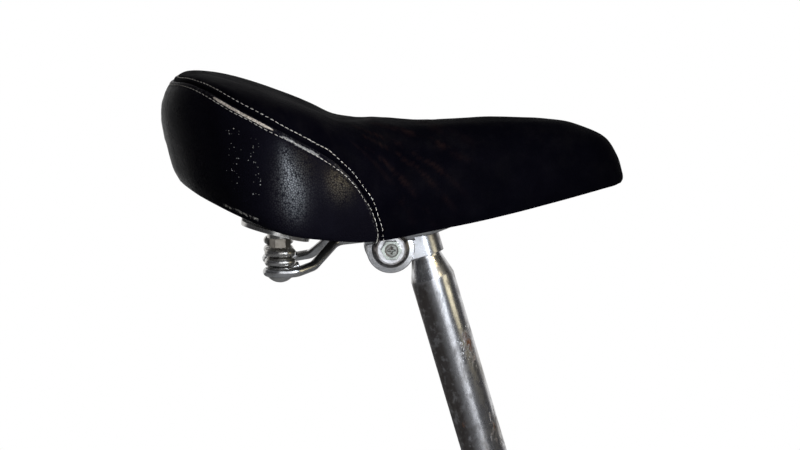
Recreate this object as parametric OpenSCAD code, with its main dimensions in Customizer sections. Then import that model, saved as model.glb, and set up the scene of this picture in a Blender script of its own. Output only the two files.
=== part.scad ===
// Sprung bicycle saddle on its seat post, with a two-cheek rail clamp.
// +X is forward, +Y is the rider's left, +Z is up. The origin is on the post's
// axis, where the post enters the frame's seat tube.

/* [Seat post] */
// Outside diameter of the post
post_d = 31.8; // [25:0.1:36]
// Wall of the post tube
post_wall = 2.2; // [1.5:0.1:3]
// Lean of the post from the vertical, in degrees
post_lean = 16.5; // [10:0.5:22]
// Length of the post below the origin, inside the seat tube
post_insert = 105; // [70:1:150]
// Straight length of the post above the origin
post_exposed = 150; // [90:1:220]
// Length of the swaged taper
taper_h = 15.5; // [10:0.5:22]
// Diameter of the neck that the clamp grips
neck_d = 22.2; // [20:0.1:23]

/* [Clamp] */
// Thickness of the strap round the neck
strap_t = 2.2; // [1.5:0.1:3]
// Height of the strap
strap_h = 26.4; // [20:0.2:32]
// Gap between the taper and the strap
strap_lift = 1.6; // [0.5:0.1:6]
// Length of neck that stands above the strap
neck_proud = 1; // [0:0.5:6]
// Gap between the neck and the clamp bolt
bolt_gap = 8.5; // [7:0.1:12]
// Diameter of the clamp bolt
bolt_d = 8; // [6:0.5:10]
// Radius of the round cheeks
cheek_r = 16.6; // [15.5:0.1:20]
// Half the length of the rail channel in a cheek
channel_half = 18; // [14:0.5:20]

/* [Rails] */
// Diameter of the rail wire
rail_d = 7; // [6:0.1:8]
// Distance between the rails in the clamp
rail_gauge = 44; // [42:0.5:50]
// Height of the rails over the clamp bolt
rail_rise = 10; // [9:0.1:14]
// Pitch of the rails, nose up, in degrees
rail_pitch = 6; // [2:0.5:12]

/* [Springs] */
// Distance between the two springs
spring_gauge = 96; // [84:1:120]
// Distance from the clamp bolt back to the springs
spring_back = 78.5; // [75:0.1:96]
// Height of the spring eyes under the clamp bolt
eye_drop = 13.1; // [10:0.1:16]
// Wire diameter of the coils
coil_wire = 6.5; // [5:0.1:7]
// Diameter of the spring bolts
spring_bolt_d = 8; // [6:0.5:8]

/* [Saddle] */
// Length of the saddle
saddle_l = 329; // [275:1:395]
// Width of the saddle
saddle_w = 215; // [180:1:258]
// Height of the crown over the clamp bolt
crown_h = 121; // [110:1:145]
// Share of the saddle's length that lies behind the clamp bolt
clamp_share = 0.491; // [0.46:0.001:0.52]
// Height of the arch under the saddle
arch_h = 28; // [26:0.5:34]
// Wall of the base pan
pan_t = 3; // [2:0.1:4]

/* [Hidden] */
fit = 0.08;              // radial play of a running fit
slip = 0.4;              // play between pieces that only lie together
steel = "silver";
dark_steel = "dimgray";
post_r = post_d / 2;
neck_r = neck_d / 2;
rail_r = rail_d / 2;
bolt_r = bolt_d / 2;
strap_r = neck_r + fit + strap_t;
strap_z = post_exposed + taper_h + strap_lift;
neck_top = strap_z + strap_h + neck_proud;
bolt_along = strap_z + strap_h / 2;
bolt_behind = neck_r + bolt_gap + bolt_r;
bolt_x = -bolt_along * sin(post_lean) - bolt_behind * cos(post_lean);
bolt_z = bolt_along * cos(post_lean) - bolt_behind * sin(post_lean);

function unit(v) = v / norm(v);
// Value at x of a table of [x, value] rows, as a smooth curve through the rows.
function slope(t, i) = i == 0 ? (t[1][1] - t[0][1]) / (t[1][0] - t[0][0])
    : i == len(t) - 1 ? (t[i][1] - t[i - 1][1]) / (t[i][0] - t[i - 1][0])
    : (t[i + 1][1] - t[i - 1][1]) / (t[i + 1][0] - t[i - 1][0]);
function row_of(t, x, i = 0) = i >= len(t) - 2 || x < t[i + 1][0] ? i : row_of(t, x, i + 1);
function smooth_at(t, x) =
    let (c = min(max(x, t[0][0]), t[len(t) - 1][0]), i = row_of(t, c),
        d = t[i + 1][0] - t[i][0], q = (c - t[i][0]) / d)
    (2 * q * q * q - 3 * q * q + 1) * t[i][1] + (q * q * q - 2 * q * q + q) * d * slope(t, i)
    + (3 * q * q - 2 * q * q * q) * t[i + 1][1] + (q * q * q - q * q) * d * slope(t, i + 1);
function ease(a, b, x) = let (q = min(max((x - a) / (b - a), 0), 1)) q * q * (3 - 2 * q);

// ---- Placement ----

module on_post() { rotate([0, -post_lean, 0]) children(); }
module at_bolt() { translate([bolt_x, 0, bolt_z]) children(); }
module along_y(y) { translate([0, y, 0]) rotate([-90, 0, 0]) children(); }
module other_side() { mirror([0, 1, 0]) children(); }

// ---- Seat post ----

module seat_post() {
    bore_r = post_r - post_wall;
    neck_bore_r = neck_r - post_wall;
    chamfer = 0.8;
    neck_base = post_exposed + taper_h;
    color(steel) on_post() rotate_extrude($fn = 96) polygon([
        [bore_r, -post_insert], [post_r - chamfer, -post_insert], [post_r, -post_insert + chamfer],
        [post_r, post_exposed], [neck_r, neck_base], [neck_r, neck_top - chamfer],
        [neck_r - chamfer, neck_top], [neck_bore_r, neck_top], [neck_bore_r, neck_base],
        [bore_r, post_exposed - post_wall]]);
}

// ---- Clamp on the neck ----

strap_half = strap_r;    // half the width of the strap across its two ears
module clamp_strap() {
    ear_end_r = strap_h / 2;
    color(steel) on_post() translate([0, 0, bolt_along]) difference() {
        intersection() {
            translate([0, 0, -strap_h / 2]) linear_extrude(strap_h) union() {
                circle(strap_r, $fn = 96);
                translate([-bolt_behind - ear_end_r, -strap_half])
                    square([bolt_behind + ear_end_r, 2 * strap_half]);
            }
            union() {
                translate([-bolt_behind, -strap_half - 1, -strap_h / 2])
                    cube([bolt_behind + strap_r + 1, 2 * strap_half + 2, strap_h]);
                translate([-bolt_behind, 0, 0]) along_y(-strap_half - 1)
                    cylinder(r = ear_end_r, h = 2 * strap_half + 2, $fn = 96);
            }
        }
        cylinder(r = neck_r + fit, h = 2 * strap_h, center = true, $fn = 96);
        translate([-bolt_behind - 2 * ear_end_r, -strap_half + strap_t, -strap_h])
            cube([bolt_behind + 2 * ear_end_r, 2 * (strap_half - strap_t), 2 * strap_h]);
        translate([-bolt_behind, 0, 0]) along_y(-2 * strap_half)
            cylinder(r = bolt_r + fit, h = 4 * strap_half, $fn = 64);
    }
}

// ---- Cheeks that hold the rails ----

rail_y = rail_gauge / 2;
cheek_in = strap_half + 0.15;         // inner face of the inner cheek
web_t = 3.5;                          // disc of the inner cheek
lip_w = 3.2;                          // width of the rims that meet
plate_t = 2.4;                        // stamped thickness of the outer cheek
plateau_y = rail_y + 6.5;             // inner face of the outer cheek's raised middle
plateau_r = 9.5;
hex_af = 1.625 * bolt_d;
hex_h = 5.5;
module rail_bore(play) {
    rotate([0, -rail_pitch, 0]) translate([-100, rail_y, rail_rise]) rotate([0, 90, 0])
        cylinder(r = rail_r + play, h = 200, $fn = 64);
}
module inner_cheek() {
    rim_y = rail_y - fit;
    difference() {
        union() {
            along_y(cheek_in) rotate_extrude($fn = 96) polygon([
                [bolt_r + fit, 0], [cheek_r - 1, 0], [cheek_r, 1], [cheek_r, rim_y - cheek_in],
                [cheek_r - lip_w, rim_y - cheek_in], [cheek_r - lip_w, web_t], [bolt_r + fit, web_t]]);
            rotate([0, -rail_pitch, 0])
                translate([-channel_half, rail_y - rail_r - 1.2, rail_rise - rail_r - 1.6])
                cube([2 * channel_half, rail_r + 1.2 - fit, 2 * rail_r + 3.2]);
        }
        rail_bore(fit);
        along_y(0) cylinder(r = bolt_r + fit, h = 60, $fn = 64);
    }
}
module outer_cheek() {
    rim_y = rail_y + fit;
    wing_r = rail_r + plate_t;
    difference() {
        union() {
            along_y(0) rotate_extrude($fn = 96) polygon([
                [bolt_r + fit, plateau_y], [plateau_r - 1, plateau_y], [cheek_r - lip_w - 1, rim_y + 1],
                [cheek_r - lip_w - 1, rim_y], [cheek_r, rim_y], [cheek_r + 0.6, rim_y + 1],
                [cheek_r, rim_y + plate_t], [cheek_r - lip_w, rim_y + plate_t + 0.3],
                [plateau_r + 1, plateau_y + plate_t], [bolt_r + fit, plateau_y + plate_t]]);
            difference() {
                rotate([0, -rail_pitch, 0]) translate([-channel_half, rail_y, rail_rise])
                    rotate([0, 90, 0]) cylinder(r = wing_r, h = 2 * channel_half, $fn = 96);
                translate([-100, rim_y - 200, -100]) cube(200);
            }
        }
        rail_bore(fit);
        along_y(0) cylinder(r = bolt_r + fit, h = 60, $fn = 64);
    }
}
module inner_cheek_left() { color(dark_steel) at_bolt() inner_cheek(); }
module inner_cheek_right() { color(dark_steel) at_bolt() other_side() inner_cheek(); }
module outer_cheek_left() { color(steel) at_bolt() outer_cheek(); }
module outer_cheek_right() { color(steel) at_bolt() other_side() outer_cheek(); }

// ---- Clamp bolt and nut, seated on the plateaus ----

seat_y = plateau_y + plate_t + 0.05;
module hexagon(h) { cylinder(d = hex_af / cos(30), h = h, $fn = 6); }
module clamp_bolt() {
    dish_r = 0.36 * hex_af;
    slot = [1.3, 5.4, 2];
    tail = 2.5;
    color("gray") at_bolt() other_side() difference() {
        union() {
            along_y(seat_y) hexagon(hex_h);
            along_y(-seat_y - hex_h - tail) cylinder(r = bolt_r, h = 2 * seat_y + hex_h + tail + 1, $fn = 64);
        }
        along_y(seat_y + hex_h - 1.2) cylinder(r = dish_r, h = 3, $fn = 64);
        for (turn = [0, 90])
            translate([0, seat_y + hex_h - 1.2, 0]) rotate([0, turn, 0])
                cube([slot[0], 2 * slot[2], slot[1]], center = true);
    }
}
module clamp_nut() {
    color("gray") at_bolt() difference() {
        along_y(seat_y) hexagon(hex_h);
        along_y(seat_y - 1) cylinder(r = bolt_r + fit, h = hex_h + 2, $fn = 64);
    }
}

// ---- Rails: round wire along a path of straights and bends ----

// Rows of a path are [point, bend radius at that point].
function turn_of(a, b) = acos(min(max(-a * b, -1), 1));
function bend_points(p, i) = i == 0 || i == len(p) - 1 ? [p[i][0]]
    : let (o = p[i][0], a = unit(p[i - 1][0] - o), b = unit(p[i + 1][0] - o), turn = turn_of(a, b),
        middle = o + unit(a + b) * p[i][1] / cos(turn / 2), t = p[i][1] * tan(turn / 2),
        start = o + a * t - middle, side = -p[i][1] * a, n = max(2, ceil(turn / 11)))
    [for (k = [0:n]) middle + start * cos(turn * k / n) + side * sin(turn * k / n)];
function tangent(q, i) = unit(q[min(i + 1, len(q) - 1)] - q[max(i - 1, 0)]);
// Frames carried along the wire without twist: a list of [across, tangent].
function carried(q, i = 0, across = [0, 0, 1], out = []) = i == len(q) ? out
    : let (t = tangent(q, i), a = unit(across - (across * t) * t)) carried(q, i + 1, a, concat(out, [[a, t]]));
wire_sides = 20;
module bent_wire(p, r) {
    q = [for (i = [0:len(p) - 1]) each bend_points(p, i)];
    frames = carried(q);
    n = wire_sides;
    points = [for (i = [0:len(q) - 1]) for (k = [0:n - 1])
        let (a = frames[i][0], b = cross(frames[i][1], a), turn = 360 * k / n)
        q[i] + r * (a * cos(turn) + b * sin(turn))];
    last = (len(q) - 1) * n;
    faces = concat(
        [for (i = [0:len(q) - 2]) for (k = [0:n - 1]) let (m = (k + 1) % n)
            for (t = [[i * n + k, (i + 1) * n + k, (i + 1) * n + m], [i * n + k, (i + 1) * n + m, i * n + m]]) t],
        [for (k = [1:n - 2]) [0, k, k + 1]],
        [for (k = [1:n - 2]) [last, last + k + 1, last + k]]);
    polyhedron(points, faces, convexity = 8);
}
// Points of the left rail, from its tail beside the spring to the nose.
eye_r = spring_bolt_d / 2 + rail_r + 1.1;
spring_y = spring_gauge / 2;
nose_y = 10.5;                         // half the distance between the rails in the nose clip
nose_pitch = 14;
nose_point = [(1 - clamp_share) * saddle_l - 54, nose_y, 0.314 * crown_h];
nose_run = 19;
function along_rail(s) = [s * cos(rail_pitch) - rail_rise * sin(rail_pitch), rail_y,
    s * sin(rail_pitch) + rail_rise * cos(rail_pitch)];
eye = [-spring_back, spring_y, -eye_drop];
straight_back = 37.5;
straight_front = 28.5;
rail_path = [
    [eye + [13.7, -eye_r, 3.4], 0],
    [eye + [4, -eye_r, 0], 8],
    [eye + [-eye_r, -eye_r, 0], eye_r],
    [eye + [-eye_r, eye_r, 0], eye_r],
    [eye + [10.5, eye_r, 0], 12],
    [eye + [23.5, eye_r - 12.6, 3.5], 14],
    [along_rail(-straight_back), 10],
    [along_rail(straight_front), 14],
    [[60, 19, 0.207 * crown_h], 20],
    [nose_point, 20],
    [nose_point + nose_run * [cos(nose_pitch), 0, sin(nose_pitch)], 0]];
// The straight run through the clamp is a true cylinder, round the swept wire.
module rail() {
    start = along_rail(-straight_back + 7);
    bent_wire(rail_path, rail_r - 0.03);
    translate(start) rotate([0, 90 - rail_pitch, 0])
        cylinder(r = rail_r, h = straight_back + straight_front - 10, $fn = 64);
}
module rail_left() { color(steel) at_bolt() rail(); }
module rail_right() { color(steel) at_bolt() other_side() rail(); }

// ---- Springs ----

coil_r = spring_bolt_d / 2 + coil_wire / 2 + 0.5;
coil_low = -eye_drop + rail_r + coil_wire / 2 + 0.1;
coil_step = coil_wire + 0.1;           // height from one ring to the next
coil_top = coil_low + coil_step + coil_wire / 2;
coil_sides = 14;
// Two close rings, the wire crossing from the lower to the upper on the inner side.
module coil_spring() {
    wire_r = coil_wire / 2;
    turns = [for (turn = [60:15:660]) turn];
    points = [for (turn = turns) for (k = [0:coil_sides - 1])
        let (q = 360 * k / coil_sides, d = coil_r + wire_r * cos(q), way = turn - 90)
        [d * cos(way), d * sin(way), coil_step * ease(300, 420, turn) + wire_r * sin(q)]];
    n = coil_sides;
    last = (len(turns) - 1) * n;
    faces = concat(
        [for (i = [0:len(turns) - 2]) for (k = [0:n - 1]) let (m = (k + 1) % n)
            for (t = [[i * n + k, (i + 1) * n + m, (i + 1) * n + k], [i * n + k, i * n + m, (i + 1) * n + m]]) t],
        [for (k = [1:n - 2]) [0, k + 1, k]],
        [for (k = [1:n - 2]) [last, last + k, last + k + 1]]);
    translate([-spring_back, spring_y, coil_low]) polyhedron(points, faces, convexity = 6);
}
module coil_spring_left() { color(steel) at_bolt() coil_spring(); }
module coil_spring_right() { color(steel) at_bolt() other_side() coil_spring(); }

nut_z = coil_top + 0.2;
nut_h = 6.6;
head_h = 4;
head_r = 8.6;
plate_pitch = 14.4;
shank_top = 26;
module at_spring() { translate([-spring_back, spring_y, 0]) children(); }
module spring_bolt() {
    seat_z = -eye_drop - rail_r - 0.05;
    dome_r = (head_r * head_r + head_h * head_h) / (2 * head_h);
    at_spring() union() {
        translate([0, 0, seat_z]) cylinder(d = spring_bolt_d, h = shank_top - seat_z, $fn = 64);
        intersection() {
            translate([0, 0, seat_z - head_h + dome_r]) sphere(dome_r, $fn = 96);
            translate([0, 0, seat_z - head_h]) cylinder(r = head_r + 1, h = head_h, $fn = 64);
        }
    }
}
module spring_nut() {
    at_spring() translate([0, 0, nut_z]) difference() {
        cylinder(d = 13 / cos(30), h = nut_h, $fn = 6);
        translate([0, 0, -1]) cylinder(d = spring_bolt_d + 2 * fit, h = nut_h + 2, $fn = 64);
    }
}
module spring_bolt_left() { color(steel) at_bolt() spring_bolt(); }
module spring_bolt_right() { color(steel) at_bolt() other_side() spring_bolt(); }
module spring_nut_left() { color("gray") at_bolt() spring_nut(); }
module spring_nut_right() { color("gray") at_bolt() other_side() spring_nut(); }

// Cross plate over both springs, with round ends, a lip turned down and a flat seat on each nut.
plate_end_r = 24.5;
plate_set = 3.4;                       // how far the plate sits behind the springs
plate_lip = 0.9;
plate_z = nut_z + nut_h + 3.6;         // underside of the plate over the bolts
module plate_shape(r) {
    square([2 * r, spring_gauge], center = true);
    for (y = [-spring_y, spring_y]) translate([0, y]) circle(r, $fn = 96);
}
module spring_plate() {
    color(dark_steel) at_bolt() difference() {
        union() {
            translate([-spring_back, 0, plate_z]) rotate([0, plate_pitch, 0])
                translate([-plate_set, 0, 0]) difference() {
                translate([0, 0, -plate_lip]) linear_extrude(plate_lip + plate_t) plate_shape(plate_end_r);
                translate([0, 0, -plate_lip - 1]) linear_extrude(plate_lip + 1)
                    plate_shape(plate_end_r - plate_t);
            }
            intersection() {
                for (y = [-spring_y, spring_y])
                    translate([-spring_back, y, nut_z + nut_h + 0.1]) cylinder(r = 9, h = 12, $fn = 64);
                translate([-spring_back, 0, plate_z + plate_t / 2]) rotate([0, plate_pitch, 0])
                    translate([0, 0, -50]) cube([60, 2 * spring_gauge, 100], center = true);
            }
        }
        for (y = [-spring_y, spring_y])
            translate([-spring_back, y, 0]) cylinder(d = spring_bolt_d + 2 * fit, h = 60, $fn = 64);
    }
}

// ---- Saddle surface ----

// Plan outline, from the middle of the rear round to the tip of the nose:
// [share of the length, share of the half width].
plan = [[0, 0], [0.003, 0.2], [0.0145, 0.41], [0.0405, 0.615], [0.08, 0.79], [0.131, 0.925],
    [0.198, 1], [0.258, 0.982], [0.328, 0.862], [0.41, 0.7], [0.495, 0.542], [0.586, 0.425],
    [0.692, 0.342], [0.8, 0.298], [0.888, 0.266], [0.946, 0.218], [0.98, 0.142], [0.996, 0.065], [1, 0]];
// Height of the lower edge and of the crest, as shares of the crown height.
edge_line = [[0, 0.373], [0.037, 0.401], [0.085, 0.345], [0.17, 0.244], [0.258, 0.151], [0.345, 0.106],
    [0.43, 0.081], [0.485, 0.087], [0.56, 0.118], [0.67, 0.168], [0.757, 0.219], [0.843, 0.277],
    [0.952, 0.351], [1, 0.372]];
crest_line = [[0, 0.994], [0.05, 1.03], [0.085, 1.024], [0.15, 0.983], [0.236, 0.907], [0.32, 0.822],
    [0.368, 0.768], [0.41, 0.754], [0.48, 0.755], [0.55, 0.737], [0.65, 0.747], [0.72, 0.758], [1, 0.744]];
// Height of the arch under the saddle, as a share of its greatest height.
arch_line = [[0, 0], [0.04, 0.18], [0.13, 0.43], [0.25, 0.57], [0.37, 0.89], [0.495, 1], [0.615, 0.93],
    [0.737, 0.8], [0.83, 0.7], [0.905, 0.58], [0.965, 0.3], [1, 0]];
// Rings from the lower edge to the spine: share of the half width, inset at the rear,
// inset at the nose, and height between edge and crest at the rear and at the nose.
outer_rings = [
    [0.94, 0.038, 0.006, 0, 0],
    [0.975, 0.023, 0, 0.13, 0.06],
    [1, 0.009, 0.001, 0.42, 0.17],
    [0.985, 0, 0.013, 0.72, 0.45],
    [0.9, 0.018, 0.043, 0.93, 0.75],
    [0.66, 0.06, 0.109, 1, 0.94],
    [0.33, 0.12, 0.17, 0.985, 0.99],
    [0.03, 0.18, 0.227, 0.965, 1]];
function edge_at(q) = crown_h * smooth_at(edge_line, q);
function crest_at(q) = crown_h * smooth_at(crest_line, q);
function arch_at(q) = arch_h * smooth_at(arch_line, q);
function saddle_x(q) = (q - clamp_share) * saddle_l;

// Points of the plan from the rear to the nose, a few for each row.
plan_steps = 2;
function spline(t, i, q) =
    let (n = len(t) - 1, a = t[max(i - 1, 0)], b = t[i], c = t[i + 1], d = t[min(i + 2, n)],
        m = i == 0 ? [c[0], -c[1]] : a, k = i == n - 1 ? [b[0], -b[1]] : d)
    0.5 * (2 * b + (c - m) * q + (2 * m - 5 * b + 4 * c - k) * q * q + (3 * b - m - 3 * c + k) * q * q * q);
half_plan = [for (i = [0:len(plan) - 2]) for (s = [0:plan_steps - 1]) spline(plan, i, s / plan_steps), plan[len(plan) - 1]];
half_n = len(half_plan) - 1;
full_plan = concat(half_plan, [for (i = [half_n - 1:-1:1]) [half_plan[i][0], -half_plan[i][1]]]);
ring_n = len(full_plan);

function outer_ring(r) = [for (p = full_plan)
    let (q = r[1] + p[0] * (1 - r[1] - r[2]), front = ease(0.3, 0.56, q), f = r[3] + (r[4] - r[3]) * front)
    [saddle_x(q), r[0] * p[1] * saddle_w / 2, edge_at(q) + f * (crest_at(q) - edge_at(q))]];
// Ring of an arched face: rim_w and rim insets of its outline, share of the way out, height over the edge.
function arch_ring(rim, share, lift) = [for (p = full_plan)
    let (in = 0.12 * (1 - share), q = rim[1] + in + p[0] * (1 - rim[1] - rim[2] - 2 * in), w = share * rim[0])
    [saddle_x(q), w * p[1] * saddle_w / 2, edge_at(q) + lift + arch_at(q) * (1 - share * share)]];
// Solid of stacked rings, the first and last closed across the middle. The two halves
// split their quads alike, and flip turns the split, so that nested surfaces agree.
module ring_solid(rings, flip = false) {
    n = ring_n;
    last = (len(rings) - 1) * n;
    faces = concat(
        [for (k = [0:len(rings) - 2]) for (j = [0:n - 1])
            let (a = k * n + j, b = a + n, d = k * n + (j + 1) % n, c = d + n)
            for (t = (j < half_n) != flip ? [[a, b, c], [a, c, d]] : [[a, b, d], [b, c, d]]) t],
        [for (j = [1:half_n - 2]) for (t = [[j, j + 1, n - j], [j + 1, n - j - 1, n - j]]) t],
        [[0, 1, n - 1], [half_n - 1, half_n, half_n + 1]],
        [for (j = [1:half_n - 2]) for (t = [[last + j, last + n - j, last + j + 1],
            [last + j + 1, last + n - j, last + n - j - 1]]) t],
        [[last, last + n - 1, last + 1], [last + half_n - 1, last + half_n + 1, last + half_n]]);
    polyhedron([for (r = rings) each r], faces, convexity = 8);
}
pan_rim = [0.86, 0.06, 0.035];
lip_rim = [0.872, 0.053, 0.03];
pan_lift = 0.8;                        // lower edge of the pan over the lower edge of the cushion
shares = [1, 0.85, 0.65, 0.45, 0.25, 0.08];

function reversed(t) = [for (i = [len(t) - 1:-1:0]) t[i]];
function arch_face(rim, lift) = [for (s = shares) arch_ring(rim, s, lift)];
module base_pan() {
    color([0.09, 0.09, 0.1]) at_bolt()
        ring_solid(concat(reversed(arch_face(pan_rim, pan_lift)), arch_face(pan_rim, pan_lift + pan_t)));
}

// The room under the pan, a hair below its underside.
module under_pan() {
    ring_solid(concat([[for (p = arch_ring(pan_rim, 1, 0)) [p[0], p[1], -40]]],
        arch_face(pan_rim, pan_lift - 0.1)), flip = true);
}

// Pillars from the cross plate to the underside of the pan, bored for the spring bolts.
module spring_pillar() {
    difference() {
        intersection() {
            at_spring() translate([0, 0, plate_z]) rotate([0, plate_pitch, 0])
                translate([0, 0, plate_t + 0.1]) cylinder(r = 11, h = 60, $fn = 64);
            under_pan();
        }
        at_spring() cylinder(d = spring_bolt_d + 2 * fit, h = shank_top + 1, $fn = 64);
    }
}
module spring_pillar_left() { color(dark_steel) at_bolt() spring_pillar(); }
module spring_pillar_right() { color(dark_steel) at_bolt() other_side() spring_pillar(); }

module cushion() {
    lift = pan_lift + pan_t + slip;
    color([0.04, 0.04, 0.05]) at_bolt() ring_solid(concat(
        [for (i = [len(shares) - 1:-1:0]) arch_ring(i == 0 ? lip_rim : pan_rim, shares[i], lift)],
        [arch_ring(lip_rim, 1, 0.6)],
        [for (r = outer_rings) outer_ring(r)]), flip = true);
}

// ---- Nose clip: a block under the pan that holds both rails ----

module nose_clip() {
    half_w = nose_y + rail_r + 2.2;
    color(dark_steel) at_bolt() difference() {
        intersection() {
            translate([nose_point[0], 0, nose_point[2]]) rotate([0, -nose_pitch, 0])
                translate([5, -half_w, -rail_r - 1.8]) cube([13, 2 * half_w, 40]);
            under_pan();
        }
        for (y = [-nose_y, nose_y])
            translate([nose_point[0], y, nose_point[2]]) rotate([0, 90 - nose_pitch, 0])
                cylinder(r = rail_r + 0.05, h = 60, $fn = 48);
    }
}

seat_post();
clamp_strap();
clamp_bolt();
clamp_nut();
inner_cheek_right();
inner_cheek_left();
outer_cheek_right();
outer_cheek_left();
rail_right();
rail_left();
coil_spring_right();
coil_spring_left();
spring_bolt_right();
spring_bolt_left();
spring_nut_right();
spring_nut_left();
spring_plate();
spring_pillar_right();
spring_pillar_left();
nose_clip();
base_pan();
cushion();
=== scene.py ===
"""Looks of a worn sprung bicycle saddle on its seat post.

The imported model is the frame. Each sub-assembly is a class that builds its own
pieces and dresses them: the padded cushion with its stitched cover, the base pan,
the two rails, the springs with their cross plate, the rail clamp and the post.
"""

import logging
import math
from collections.abc import Callable, Sequence
from dataclasses import dataclass, field
from enum import Enum

import bmesh
import bpy
import numpy as np
from mathutils import Matrix, Vector, noise


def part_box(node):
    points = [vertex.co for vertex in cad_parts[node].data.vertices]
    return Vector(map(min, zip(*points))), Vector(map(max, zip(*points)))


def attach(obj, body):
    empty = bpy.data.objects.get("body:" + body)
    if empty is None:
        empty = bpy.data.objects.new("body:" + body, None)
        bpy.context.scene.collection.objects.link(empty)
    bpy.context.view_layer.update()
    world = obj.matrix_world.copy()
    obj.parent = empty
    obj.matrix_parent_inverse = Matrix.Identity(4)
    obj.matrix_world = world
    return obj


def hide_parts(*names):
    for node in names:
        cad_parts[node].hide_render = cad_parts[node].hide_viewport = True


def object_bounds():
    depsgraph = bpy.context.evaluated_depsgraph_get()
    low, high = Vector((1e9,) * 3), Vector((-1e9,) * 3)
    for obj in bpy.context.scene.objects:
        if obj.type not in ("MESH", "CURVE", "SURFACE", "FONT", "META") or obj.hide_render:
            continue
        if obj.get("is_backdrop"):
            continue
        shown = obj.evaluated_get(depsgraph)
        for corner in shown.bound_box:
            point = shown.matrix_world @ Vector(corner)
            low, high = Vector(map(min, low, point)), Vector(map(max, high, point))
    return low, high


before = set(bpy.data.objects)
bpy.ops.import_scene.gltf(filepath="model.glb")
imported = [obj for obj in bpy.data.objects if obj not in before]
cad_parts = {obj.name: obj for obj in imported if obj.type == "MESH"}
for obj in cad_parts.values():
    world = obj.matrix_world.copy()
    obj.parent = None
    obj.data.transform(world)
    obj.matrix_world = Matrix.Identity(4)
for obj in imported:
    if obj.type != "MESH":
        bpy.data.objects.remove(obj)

LOG = logging.getLogger("saddle")
MM = 0.001
Array = np.ndarray
Socket = bpy.types.NodeSocket
Colour = tuple[float, float, float, float]
Triple = tuple[float, float, float]


class Side(Enum):
    """The rider's side of the saddle, with the sign of Y on it."""

    RIGHT = -1
    LEFT = 1

    @property
    def word(self) -> str:
        """The side's name as the CAD nodes write it."""
        return self.name.lower()


class Body(Enum):
    """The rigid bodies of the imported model."""

    POST = "post"
    CLAMP = "clamp"
    CARRIER = "rail_carrier"
    SADDLE = "saddle"


# ---------------------------------------------------------------- node trees


class Wiring:
    """Adds nodes to one tree and joins them."""

    def __init__(self, tree: bpy.types.NodeTree) -> None:
        """Starts on an empty or a fresh tree."""
        self.tree = tree

    def add(self, kind: str, inputs: dict | None = None, **settings: object) -> bpy.types.Node:
        """Adds a node.

        Args:
            kind: the node's type name.
            inputs: socket name or number to a value or an output socket.
            settings: properties of the node.

        Returns:
            The new node.
        """
        node = self.tree.nodes.new(kind)
        for name, value in settings.items():
            setattr(node, name, value)
        for key, value in (inputs or {}).items():
            self.put(node.inputs[key], value)
        return node

    def put(self, socket: Socket, value: object) -> None:
        """Links an output to the socket, or sets the socket's own value."""
        if isinstance(value, bpy.types.NodeSocket):
            self.tree.links.new(value, socket)
        else:
            socket.default_value = value

    def math(self, operation: str, a: object, b: object = 0.0, clamp: bool = False) -> Socket:
        """Returns the result of a Math node."""
        node = self.add("ShaderNodeMath", {0: a, 1: b}, operation=operation, use_clamp=clamp)
        return node.outputs[0]

    def times(self, a: object, b: object, clamp: bool = False) -> Socket:
        """Returns a multiplied by b."""
        return self.math("MULTIPLY", a, b, clamp)

    def plus(self, a: object, b: object, clamp: bool = False) -> Socket:
        """Returns a added to b."""
        return self.math("ADD", a, b, clamp)

    def blend(self, factor: object, a: object, b: object) -> Socket:
        """Returns colour a where factor is 0 and colour b where it is 1."""
        node = self.add("ShaderNodeMix", data_type="RGBA")
        for number, value in ((0, factor), (6, a), (7, b)):
            self.put(node.inputs[number], value)
        return node.outputs[2]

    def between(self, value: object, low: float, high: float, out: tuple[float, float] = (0.0, 1.0)) -> Socket:
        """Returns value mapped smoothly from low..high to out."""
        node = self.add("ShaderNodeMapRange", interpolation_type="SMOOTHSTEP")
        for name, number in (
            ("Value", value), ("From Min", low), ("From Max", high), ("To Min", out[0]), ("To Max", out[1])
        ):
            self.put(node.inputs[name], number)
        return node.outputs[0]

    def cloud(
        self, vector: object, scale: object, detail: float = 4.0, rough: float = 0.55, shift: float = 0.0
    ) -> Socket:
        """Returns a noise value over the vector, moved aside by shift."""
        moved = self.add("ShaderNodeVectorMath", {0: vector, 1: (shift, shift * 0.7, shift * 1.3)}, operation="ADD")
        node = self.add(
            "ShaderNodeTexNoise", {"Vector": moved.outputs[0], "Scale": scale, "Detail": detail, "Roughness": rough}
        )
        return node.outputs["Fac"]

    def stretched(self, vector: object, scale: Triple, turn: Triple = (0, 0, 0)) -> Socket:
        """Returns the vector turned, then scaled along its axes."""
        node = self.add("ShaderNodeMapping", {"Vector": vector, "Rotation": turn, "Scale": scale})
        return node.outputs[0]


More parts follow.
